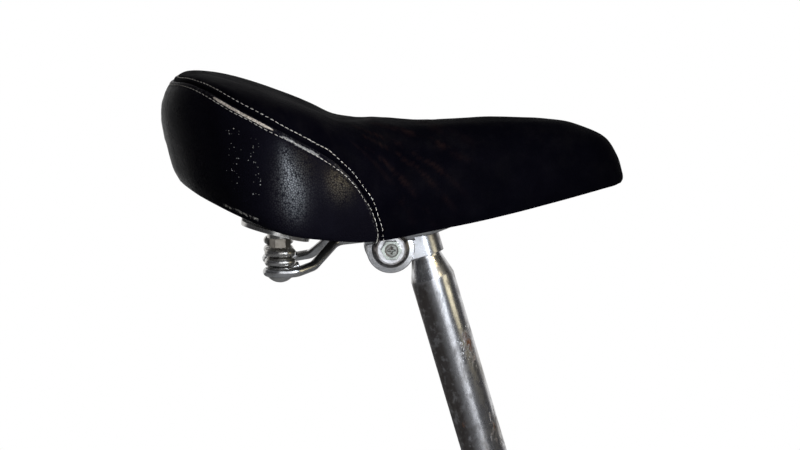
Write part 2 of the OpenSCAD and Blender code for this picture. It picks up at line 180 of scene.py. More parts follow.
class Effects:
    """The shader node groups that more than one finish uses, each built once."""

    def __init__(self) -> None:
        """Builds no group until it is asked for."""
        self.built: dict[str, bpy.types.ShaderNodeTree] = {}

    def _open(
        self, name: str, inputs: Sequence[tuple[str, str, object]], outputs: Sequence[tuple[str, str]]
    ) -> tuple[Wiring, dict[str, Socket], bpy.types.Node]:
        """Starts a group with named sockets.

        Args:
            name: the group's name.
            inputs: (name, kind, default) of each input, kind being Float, Vector or Color.
            outputs: (name, kind) of each output.

        Returns:
            Its wiring, its inputs by name, and the output node.
        """
        tree = bpy.data.node_groups.new(name, "ShaderNodeTree")
        for label, kind, default in inputs:
            socket = tree.interface.new_socket(label, in_out="INPUT", socket_type=f"NodeSocket{kind}")
            if default is not None:
                socket.default_value = default
        for label, kind in outputs:
            tree.interface.new_socket(label, in_out="OUTPUT", socket_type=f"NodeSocket{kind}")
        wiring = Wiring(tree)
        start = wiring.add("NodeGroupInput")
        end = wiring.add("NodeGroupOutput")
        self.built[name] = tree
        return wiring, {label: start.outputs[label] for label, _, _ in inputs}, end

    def use(self, wiring: Wiring, name: str, **inputs: object) -> dict[str, Socket]:
        """Places a group in a material.

        Args:
            wiring: the material's wiring.
            name: the group's name, which is also the name of the method that builds it.
            inputs: values or sockets by input name, with _ for a space.

        Returns:
            The group's outputs by name.
        """
        if name not in self.built:
            getattr(self, name)()
        node = wiring.add("ShaderNodeGroup")
        node.node_tree = self.built[name]
        for label, value in inputs.items():
            wiring.put(node.inputs[label.replace("_", " ")], value)
        return {socket.name: socket for socket in node.outputs}

    def leather_grain(self) -> None:
        """Pebbled grain of embossed vinyl: a height and a mask of the creases."""
        w, i, end = self._open(
            "leather_grain",
            [("Vector", "Vector", None), ("Scale", "Float", 800.0), ("Softness", "Float", 0.5)],
            [("Height", "Float"), ("Creases", "Float")],
        )
        drift = w.add("ShaderNodeTexNoise", {"Vector": i["Vector"], "Scale": 160.0, "Detail": 2.0})
        push = w.add(
            "ShaderNodeVectorMath", {0: drift.outputs["Color"], 1: (0.0016, 0.0016, 0.0016)}, operation="MULTIPLY"
        )
        vector = w.add("ShaderNodeVectorMath", {0: i["Vector"], 1: push.outputs[0]}, operation="ADD").outputs[0]
        cells = w.add("ShaderNodeTexVoronoi", {"Vector": vector, "Scale": i["Scale"]}, feature="DISTANCE_TO_EDGE")
        pebble = w.between(cells.outputs["Distance"], 0.0, 0.22)
        fine = w.cloud(vector, w.times(i["Scale"], 2.2), 3.0, 0.6)
        soft = w.add("ShaderNodeMix", {0: i["Softness"], 2: pebble, 3: fine}, data_type="FLOAT").outputs[0]
        w.put(end.inputs["Height"], soft)
        w.put(end.inputs["Creases"], w.math("SUBTRACT", 1.0, pebble))

    def dust_film(self) -> None:
        """Grey dust that settles on what faces up and in patches elsewhere."""
        w, i, end = self._open(
            "dust_film",
            [("Vector", "Vector", None), ("Amount", "Float", 0.3), ("Scale", "Float", 40.0)],
            [("Mask", "Float"), ("Colour", "Color")],
        )
        up = w.add("ShaderNodeSeparateXYZ", {0: w.add("ShaderNodeNewGeometry").outputs["Normal"]}).outputs["Z"]
        facing = w.between(up, -0.2, 0.9, (0.25, 1.0))
        patch = w.between(w.cloud(i["Vector"], i["Scale"], 6.0, 0.65, 3.1), 0.42, 0.72)
        mask = w.times(w.times(facing, patch), i["Amount"], clamp=True)
        w.put(end.inputs["Mask"], mask)
        tint = w.cloud(i["Vector"], 25.0, 2.0, 0.5, 8.0)
        w.put(end.inputs["Colour"], w.blend(tint, (0.13, 0.11, 0.085, 1), (0.22, 0.2, 0.17, 1)))

    def rust_bloom(self) -> None:
        """Rust in clusters of pits: a mask, its colour and its height."""
        w, i, end = self._open(
            "rust_bloom",
            [("Vector", "Vector", None), ("Amount", "Float", 0.3), ("Scale", "Float", 60.0)],
            [("Mask", "Float"), ("Colour", "Color"), ("Height", "Float")],
        )
        zone = w.cloud(i["Vector"], i["Scale"], 3.0, 0.5, 1.7)
        pits = w.cloud(i["Vector"], w.times(i["Scale"], 9.0), 5.0, 0.7, 5.3)
        both = w.plus(w.times(zone, 0.62), w.times(pits, 0.38))
        edge = w.math("SUBTRACT", 0.72, w.times(i["Amount"], 0.34))
        mask = w.add(
            "ShaderNodeMapRange", {"Value": both, "From Min": edge, "From Max": w.plus(edge, 0.07)},
            interpolation_type="SMOOTHSTEP"
        ).outputs[0]
        w.put(end.inputs["Mask"], mask)
        hue = w.cloud(i["Vector"], w.times(i["Scale"], 4.0), 4.0, 0.6, 9.2)
        w.put(
            end.inputs["Colour"],
            w.blend(w.between(hue, 0.35, 0.68), (0.035, 0.018, 0.012, 1), (0.16, 0.065, 0.026, 1))
        )
        w.put(end.inputs["Height"], w.times(mask, pits))

    def tarnish(self) -> None:
        """Cloudy darkening of old bright metal: a mask and a tint."""
        w, i, end = self._open(
            "tarnish",
            [("Vector", "Vector", None), ("Amount", "Float", 0.5), ("Scale", "Float", 30.0)],
            [("Mask", "Float"), ("Tint", "Color"), ("Haze", "Float")],
        )
        broad = w.cloud(i["Vector"], i["Scale"], 5.0, 0.62, 12.0)
        fine = w.cloud(i["Vector"], w.times(i["Scale"], 11.0), 4.0, 0.7, 2.6)
        mixed = w.plus(w.times(broad, 0.7), w.times(fine, 0.3))
        mask = w.times(w.between(mixed, 0.4, 0.66), i["Amount"], clamp=True)
        w.put(end.inputs["Mask"], mask)
        w.put(
            end.inputs["Tint"], w.blend(w.between(broad, 0.4, 0.6), (0.15, 0.135, 0.125, 1), (0.27, 0.235, 0.18, 1))
        )
        w.put(end.inputs["Haze"], w.between(fine, 0.35, 0.7))

    def hair_scratches(self) -> None:
        """Fine scratches along the vector's long axis."""
        w, i, end = self._open(
            "hair_scratches",
            [("Vector", "Vector", None), ("Density", "Float", 0.5)],
            [("Mask", "Float")],
        )
        long_way = w.stretched(i["Vector"], (1500.0, 1500.0, 28.0))
        hairs = w.add(
            "ShaderNodeTexNoise", {"Vector": long_way, "Scale": 1.0, "Detail": 3.0, "Roughness": 0.7}
        ).outputs["Fac"]
        where = w.between(w.cloud(i["Vector"], 55.0, 2.0, 0.5, 4.0), 0.45, 0.65)
        lines = w.between(hairs, 0.62, 0.7)
        w.put(end.inputs["Mask"], w.times(w.times(lines, where), i["Density"], clamp=True))

    def edge_wear(self) -> None:
        """Mask of the outer edges, broken up by noise."""
        w, i, end = self._open(
            "edge_wear",
            [("Vector", "Vector", None), ("Amount", "Float", 0.5)],
            [("Mask", "Float")],
        )
        sharp = w.between(w.add("ShaderNodeNewGeometry").outputs["Pointiness"], 0.52, 0.6)
        broken = w.between(w.cloud(i["Vector"], 300.0, 4.0, 0.6, 6.0), 0.35, 0.6)
        w.put(end.inputs["Mask"], w.times(w.times(sharp, broken), i["Amount"], clamp=True))


EFFECTS = Effects()


# ---------------------------------------------------------------- finishes


@dataclass(frozen=True)
class Finish:
    """What every finish has: a name, and a way to make its material."""

    name: str
    slot: str

    def material(self) -> bpy.types.Material:
        """Returns the finish's material, made the first time it is asked for."""
        found = bpy.data.materials.get(self.name)
        if found:
            return found
        made = bpy.data.materials.new(self.name)
        made.use_nodes = True
        made.node_tree.nodes.clear()
        wiring = Wiring(made.node_tree)
        shader = wiring.add("ShaderNodeBsdfPrincipled")
        output = wiring.add("ShaderNodeOutputMaterial")
        wiring.put(output.inputs["Surface"], shader.outputs[0])
        self.dress(wiring, shader)
        return made

    def dress(self, w: Wiring, shader: bpy.types.Node) -> None:
        """Wires the pattern into the shader's sockets."""
        raise NotImplementedError

    @staticmethod
    def place(w: Wiring) -> Socket:
        """Returns the object coordinates, which are the row frame's metres."""
        return w.add("ShaderNodeTexCoord").outputs["Object"]

    @staticmethod
    def mark(w: Wiring, name: str) -> Socket:
        """Returns the value that a mesh attribute holds."""
        return w.add("ShaderNodeAttribute", attribute_name=name).outputs["Fac"]

    @staticmethod
    def bump(w: Wiring, shader: bpy.types.Node, height: object, distance: float, strength: float = 1.0) -> None:
        """Feeds a height through a Bump node to the shader's normal."""
        node = w.add("ShaderNodeBump", {"Height": height, "Distance": distance, "Strength": strength})
        w.put(shader.inputs["Normal"], node.outputs[0])


@dataclass(frozen=True)
class TopVinylFinish(Finish):
    """Matt, fine-grained cover of the seat's top and nose, with lighter brown streaks painted as a sheen on the crests
    of its pull wrinkles.
    """

    deep: Colour = (0.0009, 0.0008, 0.0021, 1)
    faded: Colour = (0.003, 0.0027, 0.0046, 1)
    sheen_brown: Colour = (0.02, 0.0095, 0.008, 1)
    rough: float = 0.62
    shine: float = 0.006

    def dress(self, w: Wiring, shader: bpy.types.Node) -> None:
        """Wires grain, fading, a painted sheen of brown streaks on the pull wrinkles, dust and the seam's rubbed edge.
        """
        place = self.place(w)
        grain = EFFECTS.use(w, "leather_grain", Vector=place, Scale=1150.0, Softness=0.55)
        fade = w.between(w.cloud(place, 34.0, 5.0, 0.6), 0.4, 0.75)
        colour = w.blend(w.times(fade, 0.6), self.deep, self.faded)
        # Painted sheen: the crests of the pull wrinkles are tinted a lighter brown.
        pull = w.times(self.mark(w, "pull"), w.between(w.cloud(place, 90.0, 3.0, 0.5, 2.0), 0.38, 0.66))
        colour = w.blend(w.times(pull, 0.5, clamp=True), colour, self.sheen_brown)
        dust = EFFECTS.use(w, "dust_film", Vector=place, Amount=0.012, Scale=60.0)
        colour = w.blend(dust["Mask"], colour, dust["Colour"])
        rub = w.times(self.mark(w, "seam_rub"), w.between(w.cloud(place, 520.0, 4.0, 0.7, 7.0), 0.56, 0.7))
        colour = w.blend(w.times(rub, 0.35), colour, (0.12, 0.11, 0.1, 1))
        w.put(shader.inputs["Base Color"], colour)
        w.put(shader.inputs["Roughness"], w.plus(self.rough, w.times(fade, 0.16)))
        w.put(shader.inputs["Specular IOR Level"], self.shine)
        self.bump(w, shader, grain["Height"], 0.00012, 0.8)


@dataclass(frozen=True)
class SideVinylFinish(Finish):
    """Glossier pebbled cover of the rear and the flanks, with specks, scuffs and bare patches."""

    deep: Colour = (0.0034, 0.003, 0.0052, 1)
    faded: Colour = (0.0065, 0.006, 0.0098, 1)
    bare: Colour = (0.7, 0.62, 0.52, 1)
    bare_dark: Colour = (0.3, 0.24, 0.19, 1)
    rough: float = 0.25
    shine: float = 0.6
    coat_rough: float = 0.36
    dull_shine: float = 0.004

    def dress(self, w: Wiring, shader: bpy.types.Node) -> None:
        """Wires grain, white specks, scuffs, abrasion and the bared cloth along the seam."""
        place = self.place(w)
        grain = EFFECTS.use(w, "leather_grain", Vector=place, Scale=600.0, Softness=0.3)
        fade = w.between(w.cloud(place, 26.0, 5.0, 0.6), 0.38, 0.72)
        colour = w.blend(w.times(fade, 0.5), self.deep, self.faded)

        specks = w.add("ShaderNodeTexVoronoi", {"Vector": place, "Scale": 610.0, "Randomness": 1.0})
        chosen = w.math(
            "GREATER_THAN", w.add("ShaderNodeSeparateColor", {0: specks.outputs["Color"]}).outputs[0], 0.62
        )
        tone = w.add("ShaderNodeSeparateColor", {0: specks.outputs["Color"]}).outputs[1]
        ragged = w.plus(specks.outputs["Distance"], w.times(w.cloud(place, 1500.0, 2.0, 0.6, 4.0), 0.45))
        small = w.times(w.between(ragged, 0.32, 0.48, (1.0, 0.0)), w.plus(w.times(tone, 0.8), 0.2))
        in_zone = w.between(
            w.plus(self.mark(w, "specks"), w.times(w.cloud(place, 190.0, 4.0, 0.7, 1.0), 0.95)), 0.84, 0.98
        )
        speck = w.times(w.times(chosen, small), in_zone)

        gap = self.mark(w, "hem_gap")
        by_hem = w.times(w.between(gap, 0.8, 3.0), w.between(gap, 4.6, 8.4, (1.0, 0.0)))
        scuff_zone = w.times(self.mark(w, "scuff"), by_hem)
        scuff_noise = w.add(
            "ShaderNodeTexNoise",
            {"Vector": w.stretched(place, (430.0, 430.0, 560.0)), "Scale": 1.0, "Detail": 6.0, "Roughness": 0.85}
        ).outputs["Fac"]
        scuff = w.between(w.plus(scuff_zone, scuff_noise), 1.52, 1.56)
        scrape_way = w.stretched(place, (160.0, 160.0, 900.0), (0.0, 0.35, 0.0))
        scrape_noise = w.add(
            "ShaderNodeTexNoise", {"Vector": scrape_way, "Scale": 1.0, "Detail": 5.0, "Roughness": 0.7}
        ).outputs["Fac"]
        flecks = w.times(w.plus(scrape_noise, w.cloud(place, 1100.0, 4.0, 0.75, 2.0)), 0.5)
        scrape = w.between(w.plus(self.mark(w, "abrasion"), flecks), 1.39, 1.43)
        worn = w.between(
            w.plus(self.mark(w, "worn"), w.times(w.cloud(place, 620.0, 5.0, 0.75, 11.0), 0.75)), 0.8, 0.9
        )

        bare = w.blend(w.between(w.cloud(place, 900.0, 3.0, 0.6, 5.0), 0.36, 0.6), self.bare_dark, self.bare)
        colour = w.blend(w.times(speck, 0.9), colour, (0.7, 0.68, 0.62, 1))
        colour = w.blend(w.times(scrape, 0.75), colour, (0.3, 0.29, 0.28, 1))
        colour = w.blend(w.times(scuff, 0.9), colour, (0.66, 0.63, 0.56, 1))
        colour = w.blend(worn, colour, bare)
        rub = w.times(self.mark(w, "seam_rub"), w.between(w.cloud(place, 480.0, 4.0, 0.7, 7.0), 0.5, 0.66))
        colour = w.blend(w.times(rub, 0.4), colour, (0.15, 0.14, 0.13, 1))
        w.put(shader.inputs["Base Color"], colour)
        rough = w.plus(self.rough, w.times(fade, 0.1))
        w.put(shader.inputs["Roughness"], w.plus(rough, w.times(w.math("MAXIMUM", worn, scrape), 0.4), clamp=True))
        pebbled = w.between(grain["Height"], 0.3, 0.7, (0.15, 1.5))
        w.put(shader.inputs["Coat Weight"], w.times(w.times(self.mark(w, "polish"), pebbled), self.shine, clamp=True))
        w.put(shader.inputs["Coat Roughness"], self.coat_rough)
        w.put(shader.inputs["Coat IOR"], 1.55)
        w.put(shader.inputs["Specular IOR Level"], self.dull_shine)
        height = w.math("SUBTRACT", grain["Height"], w.times(worn, 1.6))
        self.bump(w, shader, height, 0.00027, 1.0)


@dataclass(frozen=True)
class LiningFinish(Finish):
    """Cloth backing and folded hem under the saddle, grey with dirt."""

    def dress(self, w: Wiring, shader: bpy.types.Node) -> None:
        """Wires a fine weave, stains and dust."""
        place = self.place(w)
        threads = [
            w.add(
                "ShaderNodeTexWave", {"Vector": place, "Scale": 260.0, "Distortion": 1.0}, bands_direction=way
            ).outputs["Fac"]
            for way in ("X", "Y")
        ]
        weave = w.times(*threads)
        stain = w.between(w.cloud(place, 45.0, 5.0, 0.6), 0.4, 0.7)
        colour = w.blend(stain, (0.006, 0.006, 0.007, 1), (0.02, 0.018, 0.015, 1))
        dust = EFFECTS.use(w, "dust_film", Vector=place, Amount=0.05, Scale=70.0)
        w.put(shader.inputs["Base Color"], w.blend(dust["Mask"], colour, dust["Colour"]))
        w.put(shader.inputs["Roughness"], 0.85)
        w.put(shader.inputs["Specular IOR Level"], 0.2)
        self.bump(w, shader, weave, 0.0002, 0.6)


@dataclass(frozen=True)
class ThreadFinish(Finish):
    """Off-white sewing thread, greyed by dirt."""

    clean: Colour = (0.82, 0.78, 0.7, 1)
    dirty: Colour = (0.27, 0.24, 0.2, 1)

    def dress(self, w: Wiring, shader: bpy.types.Node) -> None:
        """Wires dirt by stitch and by place, and the thread's twist."""
        place = self.place(w)
        dirt_and_shade = w.plus(
            w.times(self.mark(w, "shade"), 0.5), w.between(w.cloud(place, 60.0, 4.0, 0.6), 0.35, 0.75, (0.0, 0.6))
        )
        w.put(shader.inputs["Base Color"], w.blend(w.times(dirt_and_shade, 1.0, clamp=True), self.clean, self.dirty))
        twist = w.add(
            "ShaderNodeTexWave", {"Vector": place, "Scale": 900.0, "Distortion": 2.0}, bands_direction="DIAGONAL"
        )
        w.put(shader.inputs["Roughness"], 0.8)
        w.put(shader.inputs["Specular IOR Level"], 0.25)
        self.bump(w, shader, twist.outputs["Fac"], 0.00008, 0.6)


@dataclass(frozen=True)
class BrightMetalFinish(Finish):
    """Chrome or zinc plate with tarnish, grime, scratches and rust, and painted shade on marked points and in a ring
    round the bolt.
    """

    plate: Colour = (0.5, 0.5, 0.51, 1)
    rough: float = 0.16
    tarnish: float = 0.6
    rust: float = 0.3
    dirt: float = 0.3
    lean: float = 0.0
    stretch: float = 1.0
    # Inner and outer radius in millimetres of a ring round the clamp bolt where shade is painted into the colour.
    ring: tuple[float, float] = (0.0, 0.0)
    blued: Colour = (0.16, 0.125, 0.105, 1)

    def _soiled(self, w: Wiring, place: Socket) -> Socket:
        """Returns where shade is painted: on points marked for it, and in the ring round the bolt, broken up by noise.
        """
        painted_shade = self.mark(w, "dirt_and_shade")
        if self.ring[1] > 0:
            flat = w.add("ShaderNodeVectorMath", {0: place, 1: tuple(BOLT)}, operation="SUBTRACT").outputs[0]
            flat = w.add("ShaderNodeVectorMath", {0: flat, 1: (1.0, 0.0, 1.0)}, operation="MULTIPLY").outputs[0]
            away = w.add("ShaderNodeVectorMath", {0: flat}, operation="LENGTH").outputs["Value"]
            inside = w.between(away, self.ring[0] * MM, (self.ring[0] + 0.6) * MM)
            outside = w.between(away, (self.ring[1] - 0.6) * MM, self.ring[1] * MM, (1.0, 0.0))
            painted_shade = w.math("MAXIMUM", painted_shade, w.times(inside, outside))
        return w.times(painted_shade, w.between(w.cloud(place, 210.0, 5.0, 0.65, 3.3), 0.3, 0.52, (0.45, 1.0)))

    def dress(self, w: Wiring, shader: bpy.types.Node) -> None:
        """Wires plate, tarnish clouds, dark grime, painted shade, bright edges and rust that isn't metal."""
        place = self.place(w)
        painted_shade = self._soiled(w, place)
        along = w.stretched(place, (1.0, 1.0, self.stretch), (0.0, self.lean, 0.0))
        dull = EFFECTS.use(w, "tarnish", Vector=along, Amount=self.tarnish, Scale=38.0)
        rust = EFFECTS.use(w, "rust_bloom", Vector=along, Amount=self.rust, Scale=52.0)
        hairs = EFFECTS.use(w, "hair_scratches", Vector=along, Density=0.5)
        edges = EFFECTS.use(w, "edge_wear", Vector=place, Amount=0.7)
        grime = w.times(w.between(w.cloud(along, 130.0, 6.0, 0.7, 6.6), 0.44, 0.66), self.dirt, clamp=True)
        colour = w.blend(dull["Mask"], self.plate, dull["Tint"])
        colour = w.blend(w.times(self.mark(w, "heat"), 0.9), colour, self.blued)
        colour = w.blend(grime, colour, (0.075, 0.062, 0.05, 1))
        # Painted shade: darkens the colour on the marked points and in the ring round the bolt.
        colour = w.blend(w.times(painted_shade, 0.88), colour, (0.085, 0.07, 0.062, 1))
        colour = w.blend(w.times(edges["Mask"], 0.5), colour, self.plate)
        colour = w.blend(rust["Mask"], colour, rust["Colour"])
        w.put(shader.inputs["Base Color"], colour)
        w.put(shader.inputs["Metallic"], w.math("SUBTRACT", 1.0, w.times(rust["Mask"], 0.9), clamp=True))
        rough = w.plus(self.rough, w.times(dull["Mask"], w.plus(0.12, w.times(dull["Haze"], 0.16))))
        rough = w.plus(rough, w.times(grime, 0.25))
        rough = w.plus(rough, w.times(painted_shade, 0.1))
        rough = w.plus(rough, w.times(self.mark(w, "heat"), 0.26))
        rough = w.plus(rough, w.times(rust["Mask"], 0.5), clamp=True)
        w.put(shader.inputs["Roughness"], rough)
        height = w.plus(w.times(rust["Height"], 1.0), w.times(hairs["Mask"], -0.12))
        height = w.plus(height, w.times(dull["Haze"], 0.04))
        self.bump(w, shader, height, 0.00035, 0.8)


@dataclass(frozen=True)
class MouldedFinish(Finish):
    """Moulded black plastic or rubber with dust in its texture."""

    base: Colour = (0.012, 0.012, 0.013, 1)
    rough: float = 0.6
    dust: float = 0.4

    def dress(self, w: Wiring, shader: bpy.types.Node) -> None:
        """Wires a spark-eroded texture, rubbed edges and dust."""
        place = self.place(w)
        texture = w.cloud(place, 900.0, 3.0, 0.6)
        edges = EFFECTS.use(w, "edge_wear", Vector=place, Amount=0.6)
        dust = EFFECTS.use(w, "dust_film", Vector=place, Amount=self.dust, Scale=75.0)
        colour = w.blend(w.times(edges["Mask"], 0.4), self.base, (0.06, 0.058, 0.055, 1))
        w.put(shader.inputs["Base Color"], w.blend(dust["Mask"], colour, dust["Colour"]))
        w.put(shader.inputs["Roughness"], w.plus(self.rough, w.times(dust["Mask"], 0.3), clamp=True))
        self.bump(w, shader, texture, 0.00015, 0.5)


LEAN = math.radians(16.5)
TOP_VINYL = TopVinylFinish("cover_top_vinyl", "cover_vinyl")
SIDE_VINYL = SideVinylFinish("cover_side_vinyl", "cover_vinyl")
LINING = LiningFinish("hem_lining", "cover_vinyl")
THREAD = ThreadFinish("sewing_thread", "cover_vinyl")
POST_CHROME = BrightMetalFinish(
    "post_chrome_worn", "post_chrome", plate=(0.62, 0.62, 0.635, 1), rough=0.22, tarnish=0.6, rust=0.36, dirt=0.6,
    lean=LEAN, stretch=0.5
)
CLAMP_CHROME = BrightMetalFinish(
    "clamp_chrome_worn", "clamp_chrome", plate=(0.57, 0.57, 0.58, 1), rough=0.17, tarnish=0.3, rust=0.12, dirt=0.35,
    # The ring marks the channel round the bolt, where shade is painted into the colour.
    ring=(9.1, 13.0)
)
STRAP_CHROME = BrightMetalFinish(
    "strap_chrome_worn", "clamp_chrome", plate=(0.42, 0.42, 0.43, 1), rough=0.27, tarnish=0.5, rust=0.15, dirt=0.45
)
BOLT_STEEL = BrightMetalFinish(
    "bolt_steel_dull", "fastener_steel", plate=(0.33, 0.305, 0.27, 1), rough=0.26, tarnish=0.5, rust=0.26, dirt=0.45
)
BOLT_ZINC = BrightMetalFinish(
    "clamp_bolt_zinc", "fastener_steel", plate=(0.42, 0.45, 0.41, 1), rough=0.22, tarnish=0.4, rust=0.15, dirt=0.4,
    # The ring marks the dish of the bolt head, where shade is painted into the colour.
    ring=(0.0, 5.0)
)
RAIL_STEEL = BrightMetalFinish(
    "rail_steel_worn", "rail_steel", plate=(0.6, 0.6, 0.6, 1), rough=0.2, tarnish=0.4, rust=0.12, dirt=0.25
)
SPRING_STEEL = BrightMetalFinish(
    "spring_steel_grimy", "spring_steel", plate=(0.56, 0.55, 0.53, 1), rough=0.2, tarnish=0.5, rust=0.2, dirt=0.35
)
PAN_PLASTIC = MouldedFinish("pan_plastic_dusty", "pan_plastic")
PILLAR_RUBBER = MouldedFinish(
    "pillar_rubber_dusty", "pillar_rubber", base=(0.01, 0.01, 0.01, 1), rough=0.78, dust=0.5
)


# ---------------------------------------------------------------- meshes


def mesh_object(
    name: str, points: Array, faces: Sequence[Sequence[int]], materials: Sequence[Finish], slots: Array | None = None
) -> bpy.types.Object:
    """Makes a smooth-shaded mesh piece in the row frame.

    Args:
        name: the piece's name.
        points: its points in metres, one row each.
        faces: its faces as point numbers.
        materials: finishes in slot order.
        slots: the slot number of each face, or None for the first.

    Returns:
        The linked object.
    """
    data = bpy.data.meshes.new(name)
    data.from_pydata(np.asarray(points, float).tolist(), [], [list(map(int, face)) for face in faces])
    for finish in materials:
        data.materials.append(finish.material())
    if slots is not None:
        data.polygons.foreach_set("material_index", np.asarray(slots, np.int32))
    data.shade_smooth()
    data.update()
    made = bpy.data.objects.new(name, data)
    bpy.context.scene.collection.objects.link(made)
    return made


def give(piece: bpy.types.Object, name: str, values: Array) -> None:
    """Stores one number for each point of a piece as an attribute."""
    layer = piece.data.attributes.new(name, "FLOAT", "POINT")
    layer.data.foreach_set("value", np.asarray(values, np.float32).ravel())


def settle(piece: bpy.types.Object, body: Body, finish: Finish, *nodes: str) -> bpy.types.Object:
    """Makes a finished piece ride on its body in the place of CAD nodes.

    Args:
        piece: the piece, in place.
        body: the body that it moves with.
        finish: not used.
        nodes: the CAD nodes that it stands for.

    Returns:
        The piece.
    """
    if nodes:
        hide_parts(*nodes)
    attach(piece, body.value)
    LOG.info("%s: %d points on %s", piece.name, len(piece.data.vertices), body.value)
    return piece


def baked(piece: bpy.types.Object) -> bpy.types.Object:
    """Turns a piece's modifiers into its plain mesh.

    Args:
        piece: an object with live modifiers.

    Returns:
        The same object, with the result as its mesh and no modifier.
    """
    bpy.context.view_layer.update()
    shown = piece.evaluated_get(bpy.context.evaluated_depsgraph_get())
    result = bpy.data.meshes.new_from_object(shown)
    piece.modifiers.clear()
    old = piece.data
    piece.data = result
    result.name = piece.name
    bpy.data.meshes.remove(old)
    return piece


def softened(
    name: str, node: str, finish: Finish, bevel: float = 0.45, angle: float = 28.0, segments: int = 3
) -> bpy.types.Object:
    """Copies a CAD node and rounds its sharp edges.

    Args:
        name: the new piece's name.
        node: the CAD node to copy.
        finish: its finish.
        bevel: width of the rounding in millimetres.
        angle: edges sharper than this, in degrees, are rounded.
        segments: facets across a rounding.

    Returns:
        The new piece, not yet riding on a body.
    """
    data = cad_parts[node].data.copy()
    data.name = name
    data.materials.clear()
    data.materials.append(finish.material())
    shape = bmesh.new()
    shape.from_mesh(data)
    bmesh.ops.remove_doubles(shape, verts=shape.verts, dist=1e-6)
    bmesh.ops.dissolve_limit(shape, angle_limit=math.radians(1.0), verts=shape.verts, edges=shape.edges)
    bmesh.ops.recalc_face_normals(shape, faces=shape.faces)
    for face in shape.faces:
        face.smooth = True
        face.material_index = 0
    shape.to_mesh(data)
    shape.free()
    for layer in list(data.attributes):
        if layer.name in ("custom_normal", "sharp_face"):
            data.attributes.remove(layer)
    made = bpy.data.objects.new(name, data)
    bpy.context.scene.collection.objects.link(made)
    rounding = made.modifiers.new("rounding", "BEVEL")
    rounding.width = bevel * MM
    rounding.segments = segments
    rounding.limit_method = "ANGLE"
    rounding.angle_limit = math.radians(angle)
    rounding.harden_normals = True
    rounding.use_clamp_overlap = True
    return baked(made)


def unit(v: Array) -> Array:
    """Returns the vectors scaled to length 1."""
    return v / np.maximum(np.linalg.norm(v, axis=-1, keepdims=True), 1e-12)


def ease(low: float, high: float, x: Array | float) -> Array:
    """Returns x mapped smoothly from low..high to 0..1."""
    q = np.clip((np.asarray(x, float) - low) / (high - low), 0, 1)
    return q * q * (3 - 2 * q)


def unevenness(points: Array, size: float, seed: float = 0.0) -> Array:
    """Returns smooth noise from -1 to 1 at each point, with features about size metres across."""
    shift = Vector((seed, seed * 1.7, seed * 0.6))
    return np.array(
        [noise.noise(Vector(p) / size + shift) for p in np.asarray(points).reshape(-1, 3)]
    ).reshape(np.shape(points)[:-1])


# ---------------------------------------------------------------- geometry node trees


